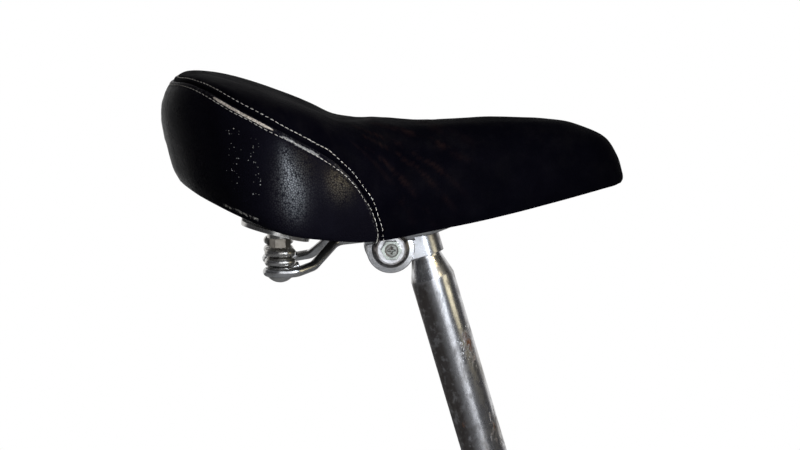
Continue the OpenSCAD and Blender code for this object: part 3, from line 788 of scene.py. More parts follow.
class PathTrees:
    """Geometry Nodes trees for what follows a path: round wire and rows of stitches."""

    def __init__(self) -> None:
        """Builds no tree until it is asked for."""
        self.built: dict[str, bpy.types.GeometryNodeTree] = {}

    def _open(
        self, name: str, inputs: Sequence[tuple[str, str, object]]
    ) -> tuple[Wiring, bpy.types.Node, bpy.types.Node]:
        """Starts a tree with a geometry input and output and named sizes.

        Args:
            name: the tree's name.
            inputs: (name, kind, default) of each size.

        Returns:
            Its wiring, its input node and its output node.
        """
        tree = bpy.data.node_groups.new(name, "GeometryNodeTree")
        tree.interface.new_socket("Path", in_out="INPUT", socket_type="NodeSocketGeometry")
        for label, kind, default in inputs:
            socket = tree.interface.new_socket(label, in_out="INPUT", socket_type=f"NodeSocket{kind}")
            if default is not None:
                socket.default_value = default
        tree.interface.new_socket("Piece", in_out="OUTPUT", socket_type="NodeSocketGeometry")
        self.built[name] = tree
        wiring = Wiring(tree)
        return wiring, wiring.add("NodeGroupInput"), wiring.add("NodeGroupOutput")

    def wire(self) -> None:
        """Round wire swept along a path, thinner where the path's taper says so."""
        w, start, end = self._open(
            "swept_wire", [("Radius", "Float", 0.003), ("Sides", "Int", 24), ("Finish", "Material", None)]
        )
        taper = w.add("GeometryNodeInputNamedAttribute", {"Name": "taper"}, data_type="FLOAT")
        line = w.add("GeometryNodeMeshToCurve", {"Mesh": start.outputs["Path"]})
        ring = w.add(
            "GeometryNodeCurvePrimitiveCircle",
            {"Resolution": start.outputs["Sides"], "Radius": start.outputs["Radius"]}
        )
        tube = w.add(
            "GeometryNodeCurveToMesh",
            {"Curve": line.outputs[0], "Profile Curve": ring.outputs[0], "Scale": taper.outputs[0], "Fill Caps": True}
        )
        smooth = w.add("GeometryNodeSetShadeSmooth", {"Geometry": tube.outputs[0]})
        real = w.add("GeometryNodeRealizeInstances", {"Geometry": smooth.outputs[0]})
        done = w.add("GeometryNodeSetMaterial", {"Geometry": real.outputs[0], "Material": start.outputs["Finish"]})
        w.put(end.inputs[0], done.outputs[0])

    def stitches(self) -> None:
        """Thread that dips into the cover and comes up again, once for each pitch along a path."""
        w, start, end = self._open(
            "stitch_row",
            [
                ("Pitch", "Float", 0.0042), ("Length", "Float", 0.0033), ("Thickness", "Float", 0.0004),
                ("Lift", "Float", 0.0004), ("Stray", "Float", 0.12), ("Seed", "Int", 1), ("Finish", "Material", None)
            ],
        )
        size = start.outputs
        line = w.add("GeometryNodeMeshToCurve", {"Mesh": size["Path"]})
        points = w.add(
            "GeometryNodeResampleCurve", {"Curve": line.outputs[0], "Length": size["Pitch"]}, mode="LENGTH"
        )
        half = w.times(size["Length"], 0.5)
        back = w.times(size["Length"], -0.5)
        sink = w.times(size["Thickness"], -1.6)
        places = [
            w.add("ShaderNodeCombineXYZ", {"X": x, "Z": z}).outputs[0]
            for x, z in (
                (back, sink), (w.times(back, 0.75), size["Lift"]), (w.times(half, 0.75), size["Lift"]), (half, sink)
            )
        ]
        arc = w.add(
            "GeometryNodeCurvePrimitiveBezierSegment",
            {
                "Resolution": 7, "Start": places[0], "Start Handle": places[1], "End Handle": places[2],
                "End": places[3]
            }
        )
        ring = w.add("GeometryNodeCurvePrimitiveCircle", {"Resolution": 6, "Radius": w.times(size["Thickness"], 0.5)})
        thread = w.add(
            "GeometryNodeCurveToMesh", {"Curve": arc.outputs[0], "Profile Curve": ring.outputs[0], "Fill Caps": True}
        )
        up = w.add("GeometryNodeInputNamedAttribute", {"Name": "up"}, data_type="FLOAT_VECTOR")
        along = w.add("GeometryNodeInputTangent")
        rotation = w.add(
            "FunctionNodeAxesToRotation", {"Primary Axis": along.outputs[0], "Secondary Axis": up.outputs[0]},
            primary_axis="X", secondary_axis="Z"
        )
        yaw = w.add(
            "FunctionNodeRandomValue", {2: w.times(size["Stray"], -1.0), 3: size["Stray"], "Seed": size["Seed"]},
            data_type="FLOAT"
        )
        turn = w.add(
            "FunctionNodeEulerToRotation", {0: w.add("ShaderNodeCombineXYZ", {"Z": yaw.outputs[1]}).outputs[0]}
        )
        aimed = w.add(
            "FunctionNodeRotateRotation", {0: rotation.outputs[0], 1: turn.outputs[0]}, rotation_space="LOCAL"
        )
        grow = w.add(
            "FunctionNodeRandomValue", {0: (0.84, 0.85, 0.7), 1: (1.08, 1.1, 1.15), "Seed": w.plus(size["Seed"], 5)},
            data_type="FLOAT_VECTOR"
        )
        many = w.add(
            "GeometryNodeInstanceOnPoints",
            {
                "Points": points.outputs[0], "Instance": thread.outputs[0], "Rotation": aimed.outputs[0],
                "Scale": grow.outputs[0]
            }
        )
        shade = w.add("FunctionNodeRandomValue", {2: 0.0, 3: 1.0, "Seed": w.plus(size["Seed"], 9)}, data_type="FLOAT")
        named = w.add(
            "GeometryNodeStoreNamedAttribute",
            {"Geometry": many.outputs[0], "Name": "shade", "Value": shade.outputs[1]}, data_type="FLOAT",
            domain="INSTANCE"
        )
        real = w.add("GeometryNodeRealizeInstances", {"Geometry": named.outputs[0]})
        smooth = w.add("GeometryNodeSetShadeSmooth", {"Geometry": real.outputs[0]})
        done = w.add("GeometryNodeSetMaterial", {"Geometry": smooth.outputs[0], "Material": size["Finish"]})
        w.put(end.inputs[0], done.outputs[0])

    def run(
        self, tree: str, name: str, paths: Sequence[Array], finish: Finish, points: dict[str, Sequence[Array]],
        **sizes: float | int
    ) -> bpy.types.Object:
        """Makes a piece from one or more paths.

        Args:
            tree: the tree's name, swept_wire or stitch_row.
            name: the piece's name.
            paths: points of each path in metres.
            finish: the piece's finish.
            points: attribute name to one value or vector for each point of each path.
            sizes: the tree's sizes by input name.

        Returns:
            The piece as a plain mesh.
        """
        if tree not in self.built:
            {"swept_wire": self.wire, "stitch_row": self.stitches}[tree]()
        data = bpy.data.meshes.new(name)
        starts = np.cumsum([0] + [len(path) for path in paths])
        edges = [(int(a + i), int(a + i + 1)) for a, path in zip(starts, paths) for i in range(len(path) - 1)]
        data.from_pydata(np.concatenate(paths).tolist(), edges, [])
        for label, values in points.items():
            merged = np.concatenate(values)
            kind, key = ("FLOAT_VECTOR", "vector") if merged.ndim == 2 else ("FLOAT", "value")
            data.attributes.new(label, kind, "POINT").data.foreach_set(key, merged.astype(np.float32).ravel())
        made = bpy.data.objects.new(name, data)
        bpy.context.scene.collection.objects.link(made)
        modifier = made.modifiers.new(tree, "NODES")
        modifier.node_group = self.built[tree]
        sockets = {
            item.name: item.identifier
            for item in self.built[tree].interface.items_tree if item.in_out == "INPUT"
        }
        modifier[sockets["Finish"]] = finish.material()
        for label, value in sizes.items():
            modifier[sockets[label]] = value
        baked(made)
        shape = bmesh.new()
        shape.from_mesh(made.data)
        bmesh.ops.recalc_face_normals(shape, faces=shape.faces)
        shape.to_mesh(made.data)
        shape.free()
        return made


TREES = PathTrees()


# ---------------------------------------------------------------- the saddle's form


def bolt_axis() -> Array:
    """Returns the middle of the clamp bolt's axis, which the saddle's sizes are measured from."""
    low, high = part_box("clamp_nut")
    return np.array([(low.x + high.x) / 2, 0.0, (low.z + high.z) / 2])


BOLT = bolt_axis()


def spline(rows: Array, at: Array) -> Array:
    """Returns a smooth curve through the rows at positions 0..1, evenly spaced by row."""
    last = len(rows) - 1
    g = np.clip(at, 0, 1) * last
    i = np.minimum(g.astype(int), last - 1)
    q = (g - i)[..., None]
    a, b, c, d = rows[np.maximum(i - 1, 0)], rows[i], rows[i + 1], rows[np.minimum(i + 2, last)]
    return 0.5 * (2 * b + (c - a) * q + (2 * a - 5 * b + 4 * c - d) * q**2 + (3 * b - a - 3 * c + d) * q**3)


def smooth_at(rows: Array, x: Array) -> Array:
    """Returns the value at x of a smooth curve through [x, value] rows.

    Args:
        rows: the table.
        x: where to read it.

    Returns:
        One value for each x.
    """
    keys, values = rows[:, 0], rows[:, 1]
    x = np.clip(x, keys[0], keys[-1])
    slope = np.empty(len(rows))
    slope[0] = (values[1] - values[0]) / (keys[1] - keys[0])
    slope[-1] = (values[-1] - values[-2]) / (keys[-1] - keys[-2])
    slope[1:-1] = (values[2:] - values[:-2]) / (keys[2:] - keys[:-2])
    i = np.clip(np.searchsorted(keys, x, side="right") - 1, 0, len(rows) - 2)
    gap = keys[i + 1] - keys[i]
    q = (x - keys[i]) / gap
    ends = (2 * q**3 - 3 * q**2 + 1) * values[i] + (3 * q**2 - 2 * q**3) * values[i + 1]
    return ends + gap * ((q**3 - 2 * q**2 + q) * slope[i] + (q**3 - q**2) * slope[i + 1])


@dataclass(frozen=True)
class SaddleForm:
    """The saddle's smooth skin: s runs round the plan from the rear to the nose, t from the lower edge to the spine."""

    length: float = 329.0
    width: float = 215.0
    crown: float = 121.0
    share: float = 0.491
    arch: float = 28.0
    plan: tuple = (
        (0, 0), (0.003, 0.2), (0.0145, 0.41), (0.0405, 0.615), (0.08, 0.79), (0.131, 0.925), (0.198, 1),
        (0.258, 0.982), (0.328, 0.862), (0.41, 0.7), (0.495, 0.542), (0.586, 0.425), (0.692, 0.342), (0.8, 0.298),
        (0.888, 0.266), (0.946, 0.218), (0.98, 0.142), (0.996, 0.065), (1, 0)
    )
    edge: tuple = (
        (0, 0.373), (0.037, 0.401), (0.085, 0.345), (0.17, 0.244), (0.258, 0.151), (0.345, 0.106), (0.43, 0.081),
        (0.485, 0.087), (0.56, 0.118), (0.67, 0.168), (0.757, 0.219), (0.843, 0.277), (0.952, 0.351), (1, 0.372)
    )
    crest: tuple = (
        (0, 0.994), (0.05, 1.03), (0.085, 1.024), (0.15, 0.983), (0.236, 0.907), (0.32, 0.822), (0.368, 0.768),
        (0.41, 0.754), (0.48, 0.755), (0.55, 0.737), (0.65, 0.747), (0.72, 0.758), (1, 0.744)
    )
    arching: tuple = (
        (0, 0), (0.04, 0.18), (0.13, 0.43), (0.25, 0.57), (0.37, 0.89), (0.495, 1), (0.615, 0.93), (0.737, 0.8),
        (0.83, 0.7), (0.905, 0.58), (0.965, 0.3), (1, 0)
    )
    rings: tuple = (
        (0.94, 0.038, 0.006, 0, 0), (0.975, 0.023, 0, 0.13, 0.06), (1, 0.009, 0.001, 0.42, 0.17),
        (0.985, 0, 0.013, 0.72, 0.45), (0.9, 0.018, 0.043, 0.93, 0.75), (0.66, 0.06, 0.109, 1, 0.94),
        (0.33, 0.12, 0.17, 0.985, 0.99), (0.03, 0.18, 0.227, 0.965, 1)
    )

    def _outline(self) -> tuple[Array, Array]:
        """Returns the plan's arc-length shares and its points."""
        rows = np.array(self.plan, float)
        padded = np.vstack([[rows[1][0], -rows[1][1]], rows, [rows[-2][0], -rows[-2][1]]])
        fine = []
        for i in range(1, len(padded) - 2):
            a, b, c, d = padded[i - 1 : i + 3]
            q = (np.arange(40) / 40)[:, None]
            fine.append(
                0.5 * (2 * b + (c - a) * q + (2 * a - 5 * b + 4 * c - d) * q**2 + (3 * b - a - 3 * c + d) * q**3)
            )
        line = np.vstack(fine + [rows[-1:]])
        step = np.linalg.norm(np.diff(line * [self.length, self.width / 2], axis=0), axis=1)
        run = np.concatenate([[0], np.cumsum(step)])
        return run / run[-1], line

    def plan_at(self, s: Array) -> tuple[Array, Array]:
        """Returns the share of the length and of the half width at s."""
        run, line = self._outline()
        return np.interp(s, run, line[:, 0]), np.interp(s, run, line[:, 1])

    def place(self, q: Array, y: Array, z: Array) -> Array:
        """Returns points in metres from shares of length and millimetres beside and above the bolt."""
        return np.stack([(q - self.share) * self.length, y, z], -1) * MM + BOLT

    def skin(self, s: Array, t: Array) -> Array:
        """Points of the skin on the left side.

        Args:
            s: share of the way round the plan, 0 at the rear and 1 at the nose.
            t: 0 at the lower edge and 1 at the spine.

        Returns:
            Points in metres.
        """
        s, t = np.broadcast_arrays(np.asarray(s, float), np.asarray(t, float))
        p0, p1 = self.plan_at(s)
        ring = spline(np.array(self.rings, float), t)
        q = ring[..., 1] + p0 * (1 - ring[..., 1] - ring[..., 2])
        lift = ring[..., 3] + (ring[..., 4] - ring[..., 3]) * ease(0.3, 0.56, q)
        low = self.crown * smooth_at(np.array(self.edge), q)
        high = self.crown * smooth_at(np.array(self.crest), q)
        return self.place(q, ring[..., 0] * p1 * self.width / 2, low + lift * (high - low))

    def under(self, s: Array, share: Array, rim: Triple, lift: float) -> Array:
        """Points of the arch under the saddle on the left side.

        Args:
            s: share of the way round the plan.
            share: 1 at the rim and 0 on the middle line.
            rim: share of the half width, inset at the rear and inset at the nose of the rim.
            lift: height over the lower edge in millimetres.

        Returns:
            Points in metres.
        """
        s, share = np.broadcast_arrays(np.asarray(s, float), np.asarray(share, float))
        p0, p1 = self.plan_at(s)
        inset = 0.12 * (1 - share)
        q = rim[1] + inset + p0 * (1 - rim[1] - rim[2] - 2 * inset)
        height = self.crown * smooth_at(np.array(self.edge), q) + lift + self.arch * smooth_at(
            np.array(self.arching), q
        ) * (1 - share**2)
        return self.place(q, share * rim[0] * p1 * self.width / 2, height)


FORM = SaddleForm()
PAN_RIM = (0.86, 0.06, 0.035)
LIP_RIM = (0.872, 0.053, 0.03)


def both_sides(rows: int, columns: int) -> tuple[Array, Array, Array]:
    """Numbers a grid and its mirror image as one closed skin.

    The first and last rows and columns lie on the middle plane, and both halves share them.

    Args:
        rows: rows of the left half.
        columns: columns of the left half.

    Returns:
        Point numbers of the left half, those of the right half, and which points of
        the left half have a mirror image of their own, as a flat index.
    """
    left = np.arange(rows * columns).reshape(rows, columns)
    inner = np.zeros((rows, columns), bool)
    inner[1:-1, 1:-1] = True
    own = np.flatnonzero(inner.ravel())
    right = left.copy()
    right.ravel()[own] = rows * columns + np.arange(len(own))
    return left, right, own


def closed_faces(left: Array, right: Array) -> Array:
    """Returns the quads of both halves, facing outwards."""
    def quads(ids: Array, flip: bool) -> Array:
        """Returns one half's quads."""
        corners = [ids[:-1, :-1], ids[:-1, 1:], ids[1:, 1:], ids[1:, :-1]]
        if flip:
            corners.reverse()
        return np.stack([corner.ravel() for corner in corners], -1)
    return np.vstack([quads(left, False), quads(right, True)])


def mirrored(points: Array, own: Array) -> Array:
    """Returns the left half's points and then the right half's own ones."""
    flat = points.reshape(-1, 3)
    return np.vstack([flat, flat[own] * [1, -1, 1]])


# ---------------------------------------------------------------- cushion


@dataclass(frozen=True)
class Skin:
    """A grid of skin points with where each lies: rows run from the spine to the middle line underneath."""

    points: Array
    s: Array
    t: Array
    panel: list[str]
    seam_columns: int


@dataclass
class Cushion:
    """Padded seat: foam under a sewn vinyl cover with a grooved seam and two rows of stitches."""

    form: SaddleForm = FORM
    seam_columns: int = 285
    nose_columns: int = 84
    top_rows: int = 50
    side_rows: int = 34
    first_step: float = 0.5
    groove: float = 1.35
    swell_cap: float = 2.4
    skin_counts: tuple[int, int, int, int] = (72, 24, 16, 12)
    cloth_frames: int = 20
    smoothing_passes: int = 10
    preshrink: float = 0.9
    pressure: float = 4.0
    thread: float = 0.5
    pitch: float = 3.9
    seam: tuple = (
        (0, 0.6, 0, 0), (0.06, 0.598, 0.06, 0.06), (0.12, 0.585, 0.12, 0.12), (0.18, 0.568, 0.18, 0.18),
        (0.229, 0.545, 0.23, 0.225), (0.266, 0.518, 0.268, 0.26), (0.296, 0.498, 0.3, 0.287),
        (0.323, 0.484, 0.33, 0.31), (0.349, 0.47, 0.358, 0.33), (0.376, 0.458, 0.39, 0.352),
        (0.405, 0.441, 0.425, 0.375), (0.435, 0.432, 0.462, 0.398), (0.463, 0.426, 0.495, 0.42),
        (0.483, 0.402, 0.52, 0.438), (0.5014, 0.374, 0.545, 0.455), (0.5168, 0.329, 0.565, 0.472),
        (0.5273, 0.27, 0.585, 0.49), (0.5325, 0.18, 0.603, 0.508), (0.5335, 0.08, 0.62, 0.523),
        (0.531, 0, 0.635, 0.531)
    )
    upper_row: tuple = (
        (0, 0.632), (0.06, 0.629), (0.12, 0.615), (0.18, 0.598), (0.2133, 0.5877), (0.2546, 0.56), (0.2872, 0.5316),
        (0.3151, 0.5208), (0.342, 0.503), (0.3687, 0.4844), (0.3985, 0.4705), (0.4283, 0.4603), (0.4536, 0.4604),
        (0.4748, 0.4392), (0.4961, 0.4113), (0.5122, 0.3739), (0.5273, 0.3391), (0.5338, 0.2929), (0.5387, 0.2053),
        (0.5375, 0.1), (0.5361, 0.0)
    )
    lower_row: tuple = (
        (0, 0.572), (0.06, 0.569), (0.12, 0.557), (0.1556, 0.5473), (0.2051, 0.5245), (0.2452, 0.4993),
        (0.277, 0.475), (0.3046, 0.4633), (0.3306, 0.4487), (0.3564, 0.4378), (0.3834, 0.4309), (0.4119, 0.4106),
        (0.442, 0.4034), (0.4725, 0.3915), (0.4907, 0.3723), (0.5066, 0.3379), (0.5214, 0.2843), (0.5274, 0.215),
        (0.5289, 0.1229), (0.5227, 0.008)
    )
    piece: bpy.types.Object | None = field(default=None, init=False)

    def _columns(self, seam_count: int, nose_count: int) -> Array:
        """Returns [s, t, spine s, hem s] rows, even along the seam, then round the nose."""
        fine = spline(np.array(self.seam, float), np.linspace(0, 1, 900))
        run = np.concatenate(
            [
                [0],
                np.cumsum(
                    np.linalg.norm(np.diff(self.form.skin(fine[:, 0], np.clip(fine[:, 1], 0, 1)), axis=0), axis=1)
                )
            ]
        )
        at = np.linspace(0, run[-1], seam_count)
        along = np.stack([np.interp(at, run, fine[:, k]) for k in range(4)], -1)
        q = np.linspace(0, 1, nose_count + 1)[1:]
        nose = np.stack([0.531 + 0.469 * q, 0 * q, 0.635 + 0.365 * q, 0.531 + 0.469 * q], -1)
        columns = np.vstack([along, nose])
        columns[:, 1] = np.maximum(columns[:, 1], 0.05)
        return columns

    def _band(self, start: Array, end: Array, rows: int, first: float) -> tuple[Array, Array]:
        """Rows from one line on the skin to another, close together at the first line.

        Args:
            start: [s, t] of each column on the first line.
            end: [s, t] of each column on the other line.
            rows: number of steps between them.
            first: length of the first step in millimetres, or 0 for even steps.

        Returns:
            s and t of each row and column.
        """
        fine = np.linspace(0, 1, 48)[:, None, None]
        way = start + (end - start) * fine
        run = np.cumsum(np.linalg.norm(np.diff(self.form.skin(way[..., 0], way[..., 1]), axis=0), axis=-1), axis=0)
        run = np.vstack([np.zeros((1, run.shape[1])), run])
        u = np.linspace(0, 1, rows + 1)
        out = np.empty((rows + 1, len(start), 2))
        for k in range(len(start)):
            weight = min(1.0, first * MM * rows / run[-1, k]) if first else 1.0
            share = np.interp((weight * u + (1 - weight) * u**2) * run[-1, k], run[:, k], fine[:, 0, 0])
            out[:, k] = start[k] + (end[k] - start[k]) * share[:, None]
        return out[..., 0], out[..., 1]

    def grid(self, seam_count: int, nose_count: int, top_rows: int, side_rows: int, first: float) -> Skin:
        """Lays the smooth skin out as one closed grid.

        Args:
            seam_count: columns along the seam.
            nose_count: columns along the nose.
            top_rows: rows from spine to seam.
            side_rows: rows from seam to hem.
            first: step next to the seam in millimetres, or 0 for even steps.

        Returns:
            The left half of the skin.
        """
        columns = self._columns(seam_count, nose_count)
        count = len(columns)
        seam = columns[:, :2]
        spine = np.stack([columns[:, 2], np.ones(count)], -1)
        hem = np.stack([columns[:, 3], np.zeros(count)], -1)
        top_s, top_t = (part[::-1] for part in self._band(seam, spine, top_rows, first))
        side_s, side_t = (part[1:] for part in self._band(seam, hem, side_rows, first))
        s, t = np.vstack([top_s, side_s]), np.vstack([top_t, side_t])
        skin = self.form.skin(s, t)
        beside = np.sign(skin[..., 1]) * 0.03 * self.form.plan_at(s)[1] * self.form.width / 2 * MM * ease(0.86, 1, t)
        skin[..., 1] = np.where(t > 0.86, skin[..., 1] - beside, skin[..., 1])
        skin[0, :, 1] = 0
        edge, lip = skin[-1], self.form.under(hem[:, 0], 1.0, LIP_RIM, 0.6)
        roll = [
            edge + (lip - edge) * q - np.array([0, 0, drop * MM])
            for q, drop in ((0.22, 0.75), (0.5, 0.95), (0.8, 0.6), (1.0, 0.0))
        ]
        inside = [
            self.form.under(hem[:, 0], share, LIP_RIM, lift)
            for share, lift in (
                (1.0, 2.4), (1.0, 4.2), (0.93, 4.2), (0.8, 4.2), (0.6, 4.2), (0.4, 4.2), (0.2, 4.2), (0.0, 4.2)
            )
        ]
        points = np.concatenate([skin, np.stack(roll), np.stack(inside)])
        points[:, 0, 1] = points[:, -1, 1] = points[-1, :, 1] = 0
        extra = len(roll) + len(inside)
        s = np.vstack([s, np.repeat(hem[None, :, 0], extra, 0)])
        t = np.vstack([t, np.full((extra, count), -1.0)])
        panel = ["top"] * top_rows + ["side"] * side_rows + ["roll"] * len(roll) + ["inside"] * len(inside)
        return Skin(points, s, t, panel, seam_count)

    def swell(self) -> Callable[[Array, Array], Array]:
        """Blows the cover up between its seams with a cloth simulation on a coarse skin.

        Returns:
            A function from (row share from the spine through the seam to the hem, 0..2,
            column share 0..2) to the displacement in metres along the skin's normal.
        """
        seam_count, nose_count, top_rows, side_rows = self.skin_counts
        skin = self.grid(seam_count, nose_count, top_rows, side_rows, 0.0)
        rows, columns = skin.s.shape
        left, right, own = both_sides(rows, columns)
        points = mirrored(skin.points, own)
        made = mesh_object("cover_under_pressure", points, closed_faces(left, right), [LINING])
        outward(made)
        before = np.array([v.co for v in made.data.vertices])
        normals = np.array([v.normal for v in made.data.vertices])
        seam_row, hem_row = top_rows, top_rows + side_rows
        held = set(left[seam_row, : seam_count + 1]) | set(right[seam_row, : seam_count + 1])
        held |= set(left[hem_row:].ravel()) | set(right[hem_row:].ravel())
        group = made.vertex_groups.new(name="held")
        group.add([int(i) for i in held], 1.0, "REPLACE")
        cloth = made.modifiers.new("cloth", "CLOTH").settings
        cloth.vertex_group_mass = "held"
        cloth.quality = 6
        cloth.mass = 0.4
        cloth.tension_stiffness = cloth.compression_stiffness = 22
        cloth.shear_stiffness = 12
        cloth.bending_stiffness = 1.2
        cloth.shrink_min = -0.012
        cloth.use_pressure = True
        cloth.uniform_pressure_force = self.pressure
        cloth.effector_weights.gravity = 0
        scene = bpy.context.scene
        for number in range(1, self.cloth_frames + 1):
            scene.frame_set(number)
        shown = made.evaluated_get(bpy.context.evaluated_depsgraph_get())
        after = np.array([v.co for v in shown.data.vertices])
        moved = np.einsum("ij,ij->i", after - before, normals)
        scene.frame_set(1)
        moved = np.clip(np.nan_to_num(moved), -self.swell_cap * MM, self.swell_cap * MM)
        LOG.info(
            "cover swells %.2f mm on average, %.2f mm at most", moved[left[:hem_row]].mean() / MM, moved.max() / MM
        )
        bpy.data.objects.remove(made)
        table = moved[left[: hem_row + 1]]
        for _ in range(self.smoothing_passes):
            table[1:-1, 1:-1] = (
                4 * table[1:-1, 1:-1] + 2 * (
                    table[:-2, 1:-1] + table[2:, 1:-1] + table[1:-1, :-2] + table[1:-1, 2:]
                ) + table[:-2, :-2] + table[:-2, 2:] + table[2:, :-2] + table[2:, 2:]
            ) / 16
        across = np.concatenate([np.linspace(0, 1, top_rows + 1), np.linspace(1, 2, side_rows + 1)[1:]])
        around = np.concatenate([np.linspace(0, 1, seam_count), 1 + np.linspace(0, 1, nose_count + 1)[1:]])

        def at(row: Array, column: Array) -> Array:
            """Returns the displacement between the coarse rows and columns."""
            i = np.clip(np.searchsorted(across, row, side="right") - 1, 0, len(across) - 2)
            j = np.clip(np.searchsorted(around, column, side="right") - 1, 0, len(around) - 2)
            a = np.clip((row - across[i]) / (across[i + 1] - across[i]), 0, 1)
            b = np.clip((column - around[j]) / (around[j + 1] - around[j]), 0, 1)
            a, b = a * a * (3 - 2 * a), b * b * (3 - 2 * b)
            return (table[i, j] * (1 - a) + table[i + 1, j] * a) * (1 - b) + (
                table[i, j + 1] * (1 - a) + table[i + 1, j + 1] * a
            ) * b

        return at

    def _seam_distance(self, points: Array) -> tuple[Array, Array, Array]:
        """Distance of each point to the seam.

        Args:
            points: points of the left half.

        Returns:
            Distance in millimetres, arc length along the seam in millimetres, and the seam's s there.
        """
        line = spline(np.array(self.seam, float), np.linspace(0, 1, 700))
        places = self.form.skin(line[:, 0], np.clip(line[:, 1], 0, 1))
        run = np.concatenate([[0], np.cumsum(np.linalg.norm(np.diff(places, axis=0), axis=1))]) / MM
        flat = points.reshape(-1, 3)
        near, much = np.empty(len(flat), int), np.empty(len(flat))
        for i in range(0, len(flat), 4000):
            gap = np.linalg.norm(flat[i : i + 4000, None] - places[None], axis=-1)
            near[i : i + 4000], much[i : i + 4000] = gap.argmin(1), gap.min(1)
        shape = points.shape[:-1]
        return (much / MM).reshape(shape), run[near].reshape(shape), line[near, 0].reshape(shape)

    def _pull(self, points: Array) -> tuple[Array, Array]:
        """Tension lines that fan out from the hump over the front of the hips.

        Args:
            points: points of the left half.

        Returns:
            Their height in millimetres, and how strongly each point lies on a crest, where the top cover gets a painted
            sheen.
        """
        p = (points - BOLT) / MM
        x, z = p[..., 0] + 46, 93 - p[..., 2]
        r = np.hypot(x, z)
        angle = np.degrees(np.arctan2(z, np.maximum(x, 1e-3))) - 0.17 * r
        window = ease(8, 30, r) * (1 - ease(75, 120, r)) * ease(-16, -6, angle) * (1 - ease(24, 44, angle)) * (x > 0)
        wave = sum(
            weight * np.cos(np.radians(angle * turns + shift))
            for weight, turns, shift in ((0.5, 41, 20), (0.3, 63, 80), (0.2, 97, 200))
        )
        return 0.26 * window * wave, window * np.clip(wave, 0, 1)

    def build(self) -> bpy.types.Object:
        """Builds the cover with its seam groove, puckers, swelling and worn zones.

        Returns:
            The cushion.
        """
        skin = self.grid(self.seam_columns, self.nose_columns, self.top_rows, self.side_rows, self.first_step)
        rows, columns = skin.s.shape
        hem_row = self.top_rows + self.side_rows
        left, right, own = both_sides(rows, columns)
        faces = closed_faces(left, right)
        trial = mesh_object("trial", mirrored(skin.points, own), faces, [LINING])
        flipped = outward(trial)
        normals = np.array([v.normal for v in trial.data.vertices])[left]
        bpy.data.objects.remove(trial)
        if flipped:
            faces = faces[:, ::-1]

        seam_d, seam_run, seam_s = self._seam_distance(skin.points)
        above = np.arange(rows)[:, None] <= self.top_rows
        half = np.interp(seam_s, [0, 0.44, 0.5335], [4.0, 4.0, 2.6])
        alive_seam = (skin.t >= 0).astype(float)
        row_d = np.abs(seam_d - half)
        height = -self.groove * np.exp(-((seam_d / 0.75) ** 2)) + 0.42 * np.exp(
            -(((seam_d - 0.52 * half) / (0.3 * half)) ** 2)
        )
        height -= 0.32 * np.exp(-((row_d / 0.55) ** 2))
        height += 0.16 * np.cos(
            2 * np.pi * seam_run / self.pitch
        ) * np.exp(-((row_d / 1.5) ** 2)) * np.where(above, 1.0, 0.7)
        height += np.where(above, 0.5, 0.15) * np.exp(-(((seam_d - 7.5) / 4.0) ** 2))
        height *= alive_seam

        # The second mask marks the wrinkle crests, where the top cover gets a painted sheen.
        pull_height, pull = self._pull(skin.points)
        height += np.where(above, pull_height, 0)
        height += alive_seam * (
            0.45 * unevenness(
                skin.points, 0.055, 1.3
            ) + np.where(above, 0.14, 0.04) * unevenness(skin.points, 0.016, 7.7)
        )
        swell = self.swell()
        row_share = self._row_share(skin.points, hem_row)
        column_share = np.concatenate(
            [np.linspace(0, 1, self.seam_columns), 1 + np.linspace(0, 1, self.nose_columns + 1)[1:]]
        )[None].repeat(hem_row + 1, 0)
        swollen = swell(row_share, column_share) / MM
        height[: hem_row + 1] += swollen - self.preshrink * np.clip(swollen / self.swell_cap, 0, 1)
        points = skin.points + normals * height[..., None] * MM
        points[0, :, 1] = points[-1, :, 1] = points[:, 0, 1] = points[:, -1, 1] = 0

        slots = np.zeros((rows - 1, columns - 1), int)
        panel = np.array(skin.panel)
        slots[panel == "side", : self.seam_columns - 1] = 1
        slots[
            np.flatnonzero(panel == "roll")[0] : np.flatnonzero(panel == "roll")[0] + 2, : self.seam_columns - 1
        ] = 1
        slots[panel == "inside"] = 2
        self.piece = mesh_object(
            "saddle_cover", mirrored(points, own), faces, [TOP_VINYL, SIDE_VINYL, LINING],
            np.concatenate([slots.ravel(), slots.ravel()])
        )

        p = (skin.points - BOLT) / MM
        worn = ease(0.232, 0.262, seam_s) * (
            1 - ease(0.33, 0.368, seam_s)
        ) * ease(1.0, 1.8, seam_d) * (1 - ease(2.9, 3.8, seam_d)) * ~above
        rub = np.exp(-(((seam_d - 1.9) / 1.1) ** 2)) * (0.35 + 0.65 * ease(0.1, 0.3, seam_s)) * ~above
        abrasion = ease(0.345, 0.37, seam_s) * (1 - ease(0.43, 0.46, seam_s)) * np.exp(
            -(((seam_d - 3.5) / 2.6) ** 2)
        ) * ~above
        specks = sum(
            np.exp(-(((p[..., 0] - x) / w) ** 2)) * ease(low - 6, low + 6, p[..., 2]) * (
                1 - ease(high - 5, high + 5, p[..., 2])
            )
            for x, w, low, high in ((-110, 5, 50, 91), (-96, 4.5, 44, 84))
        )
        from_hem = np.linalg.norm(skin.points - skin.points[hem_row], axis=-1) / MM
        scuff = ease(-122, -117, p[..., 0]) * (1 - ease(-94, -88, p[..., 0])) * (skin.t >= 0)
        polish = sum(
            much * np.exp(-(((p[..., 0] - x) / wide) ** 2) - ((p[..., 2] - z) / high) ** 2)
            for much, x, wide, z, high in ((1.15, -71, 10.5, 50, 21), (1.0, -38, 9, 51, 11))
        )
        for name, values, other_side in (
            ("polish", polish, 1.0), ("hem_gap", np.minimum(from_hem, 40), 1.0), ("worn", worn, 0.0),
            ("seam_rub", rub, 0.8), ("abrasion", abrasion, 0.5), ("specks", specks, 0.4), ("scuff", scuff, 0.3),
            ("pull", pull, 1.0)
        ):
            near = np.asarray(values, float)
            full = np.concatenate([near.ravel() * other_side, near.ravel()[own]])
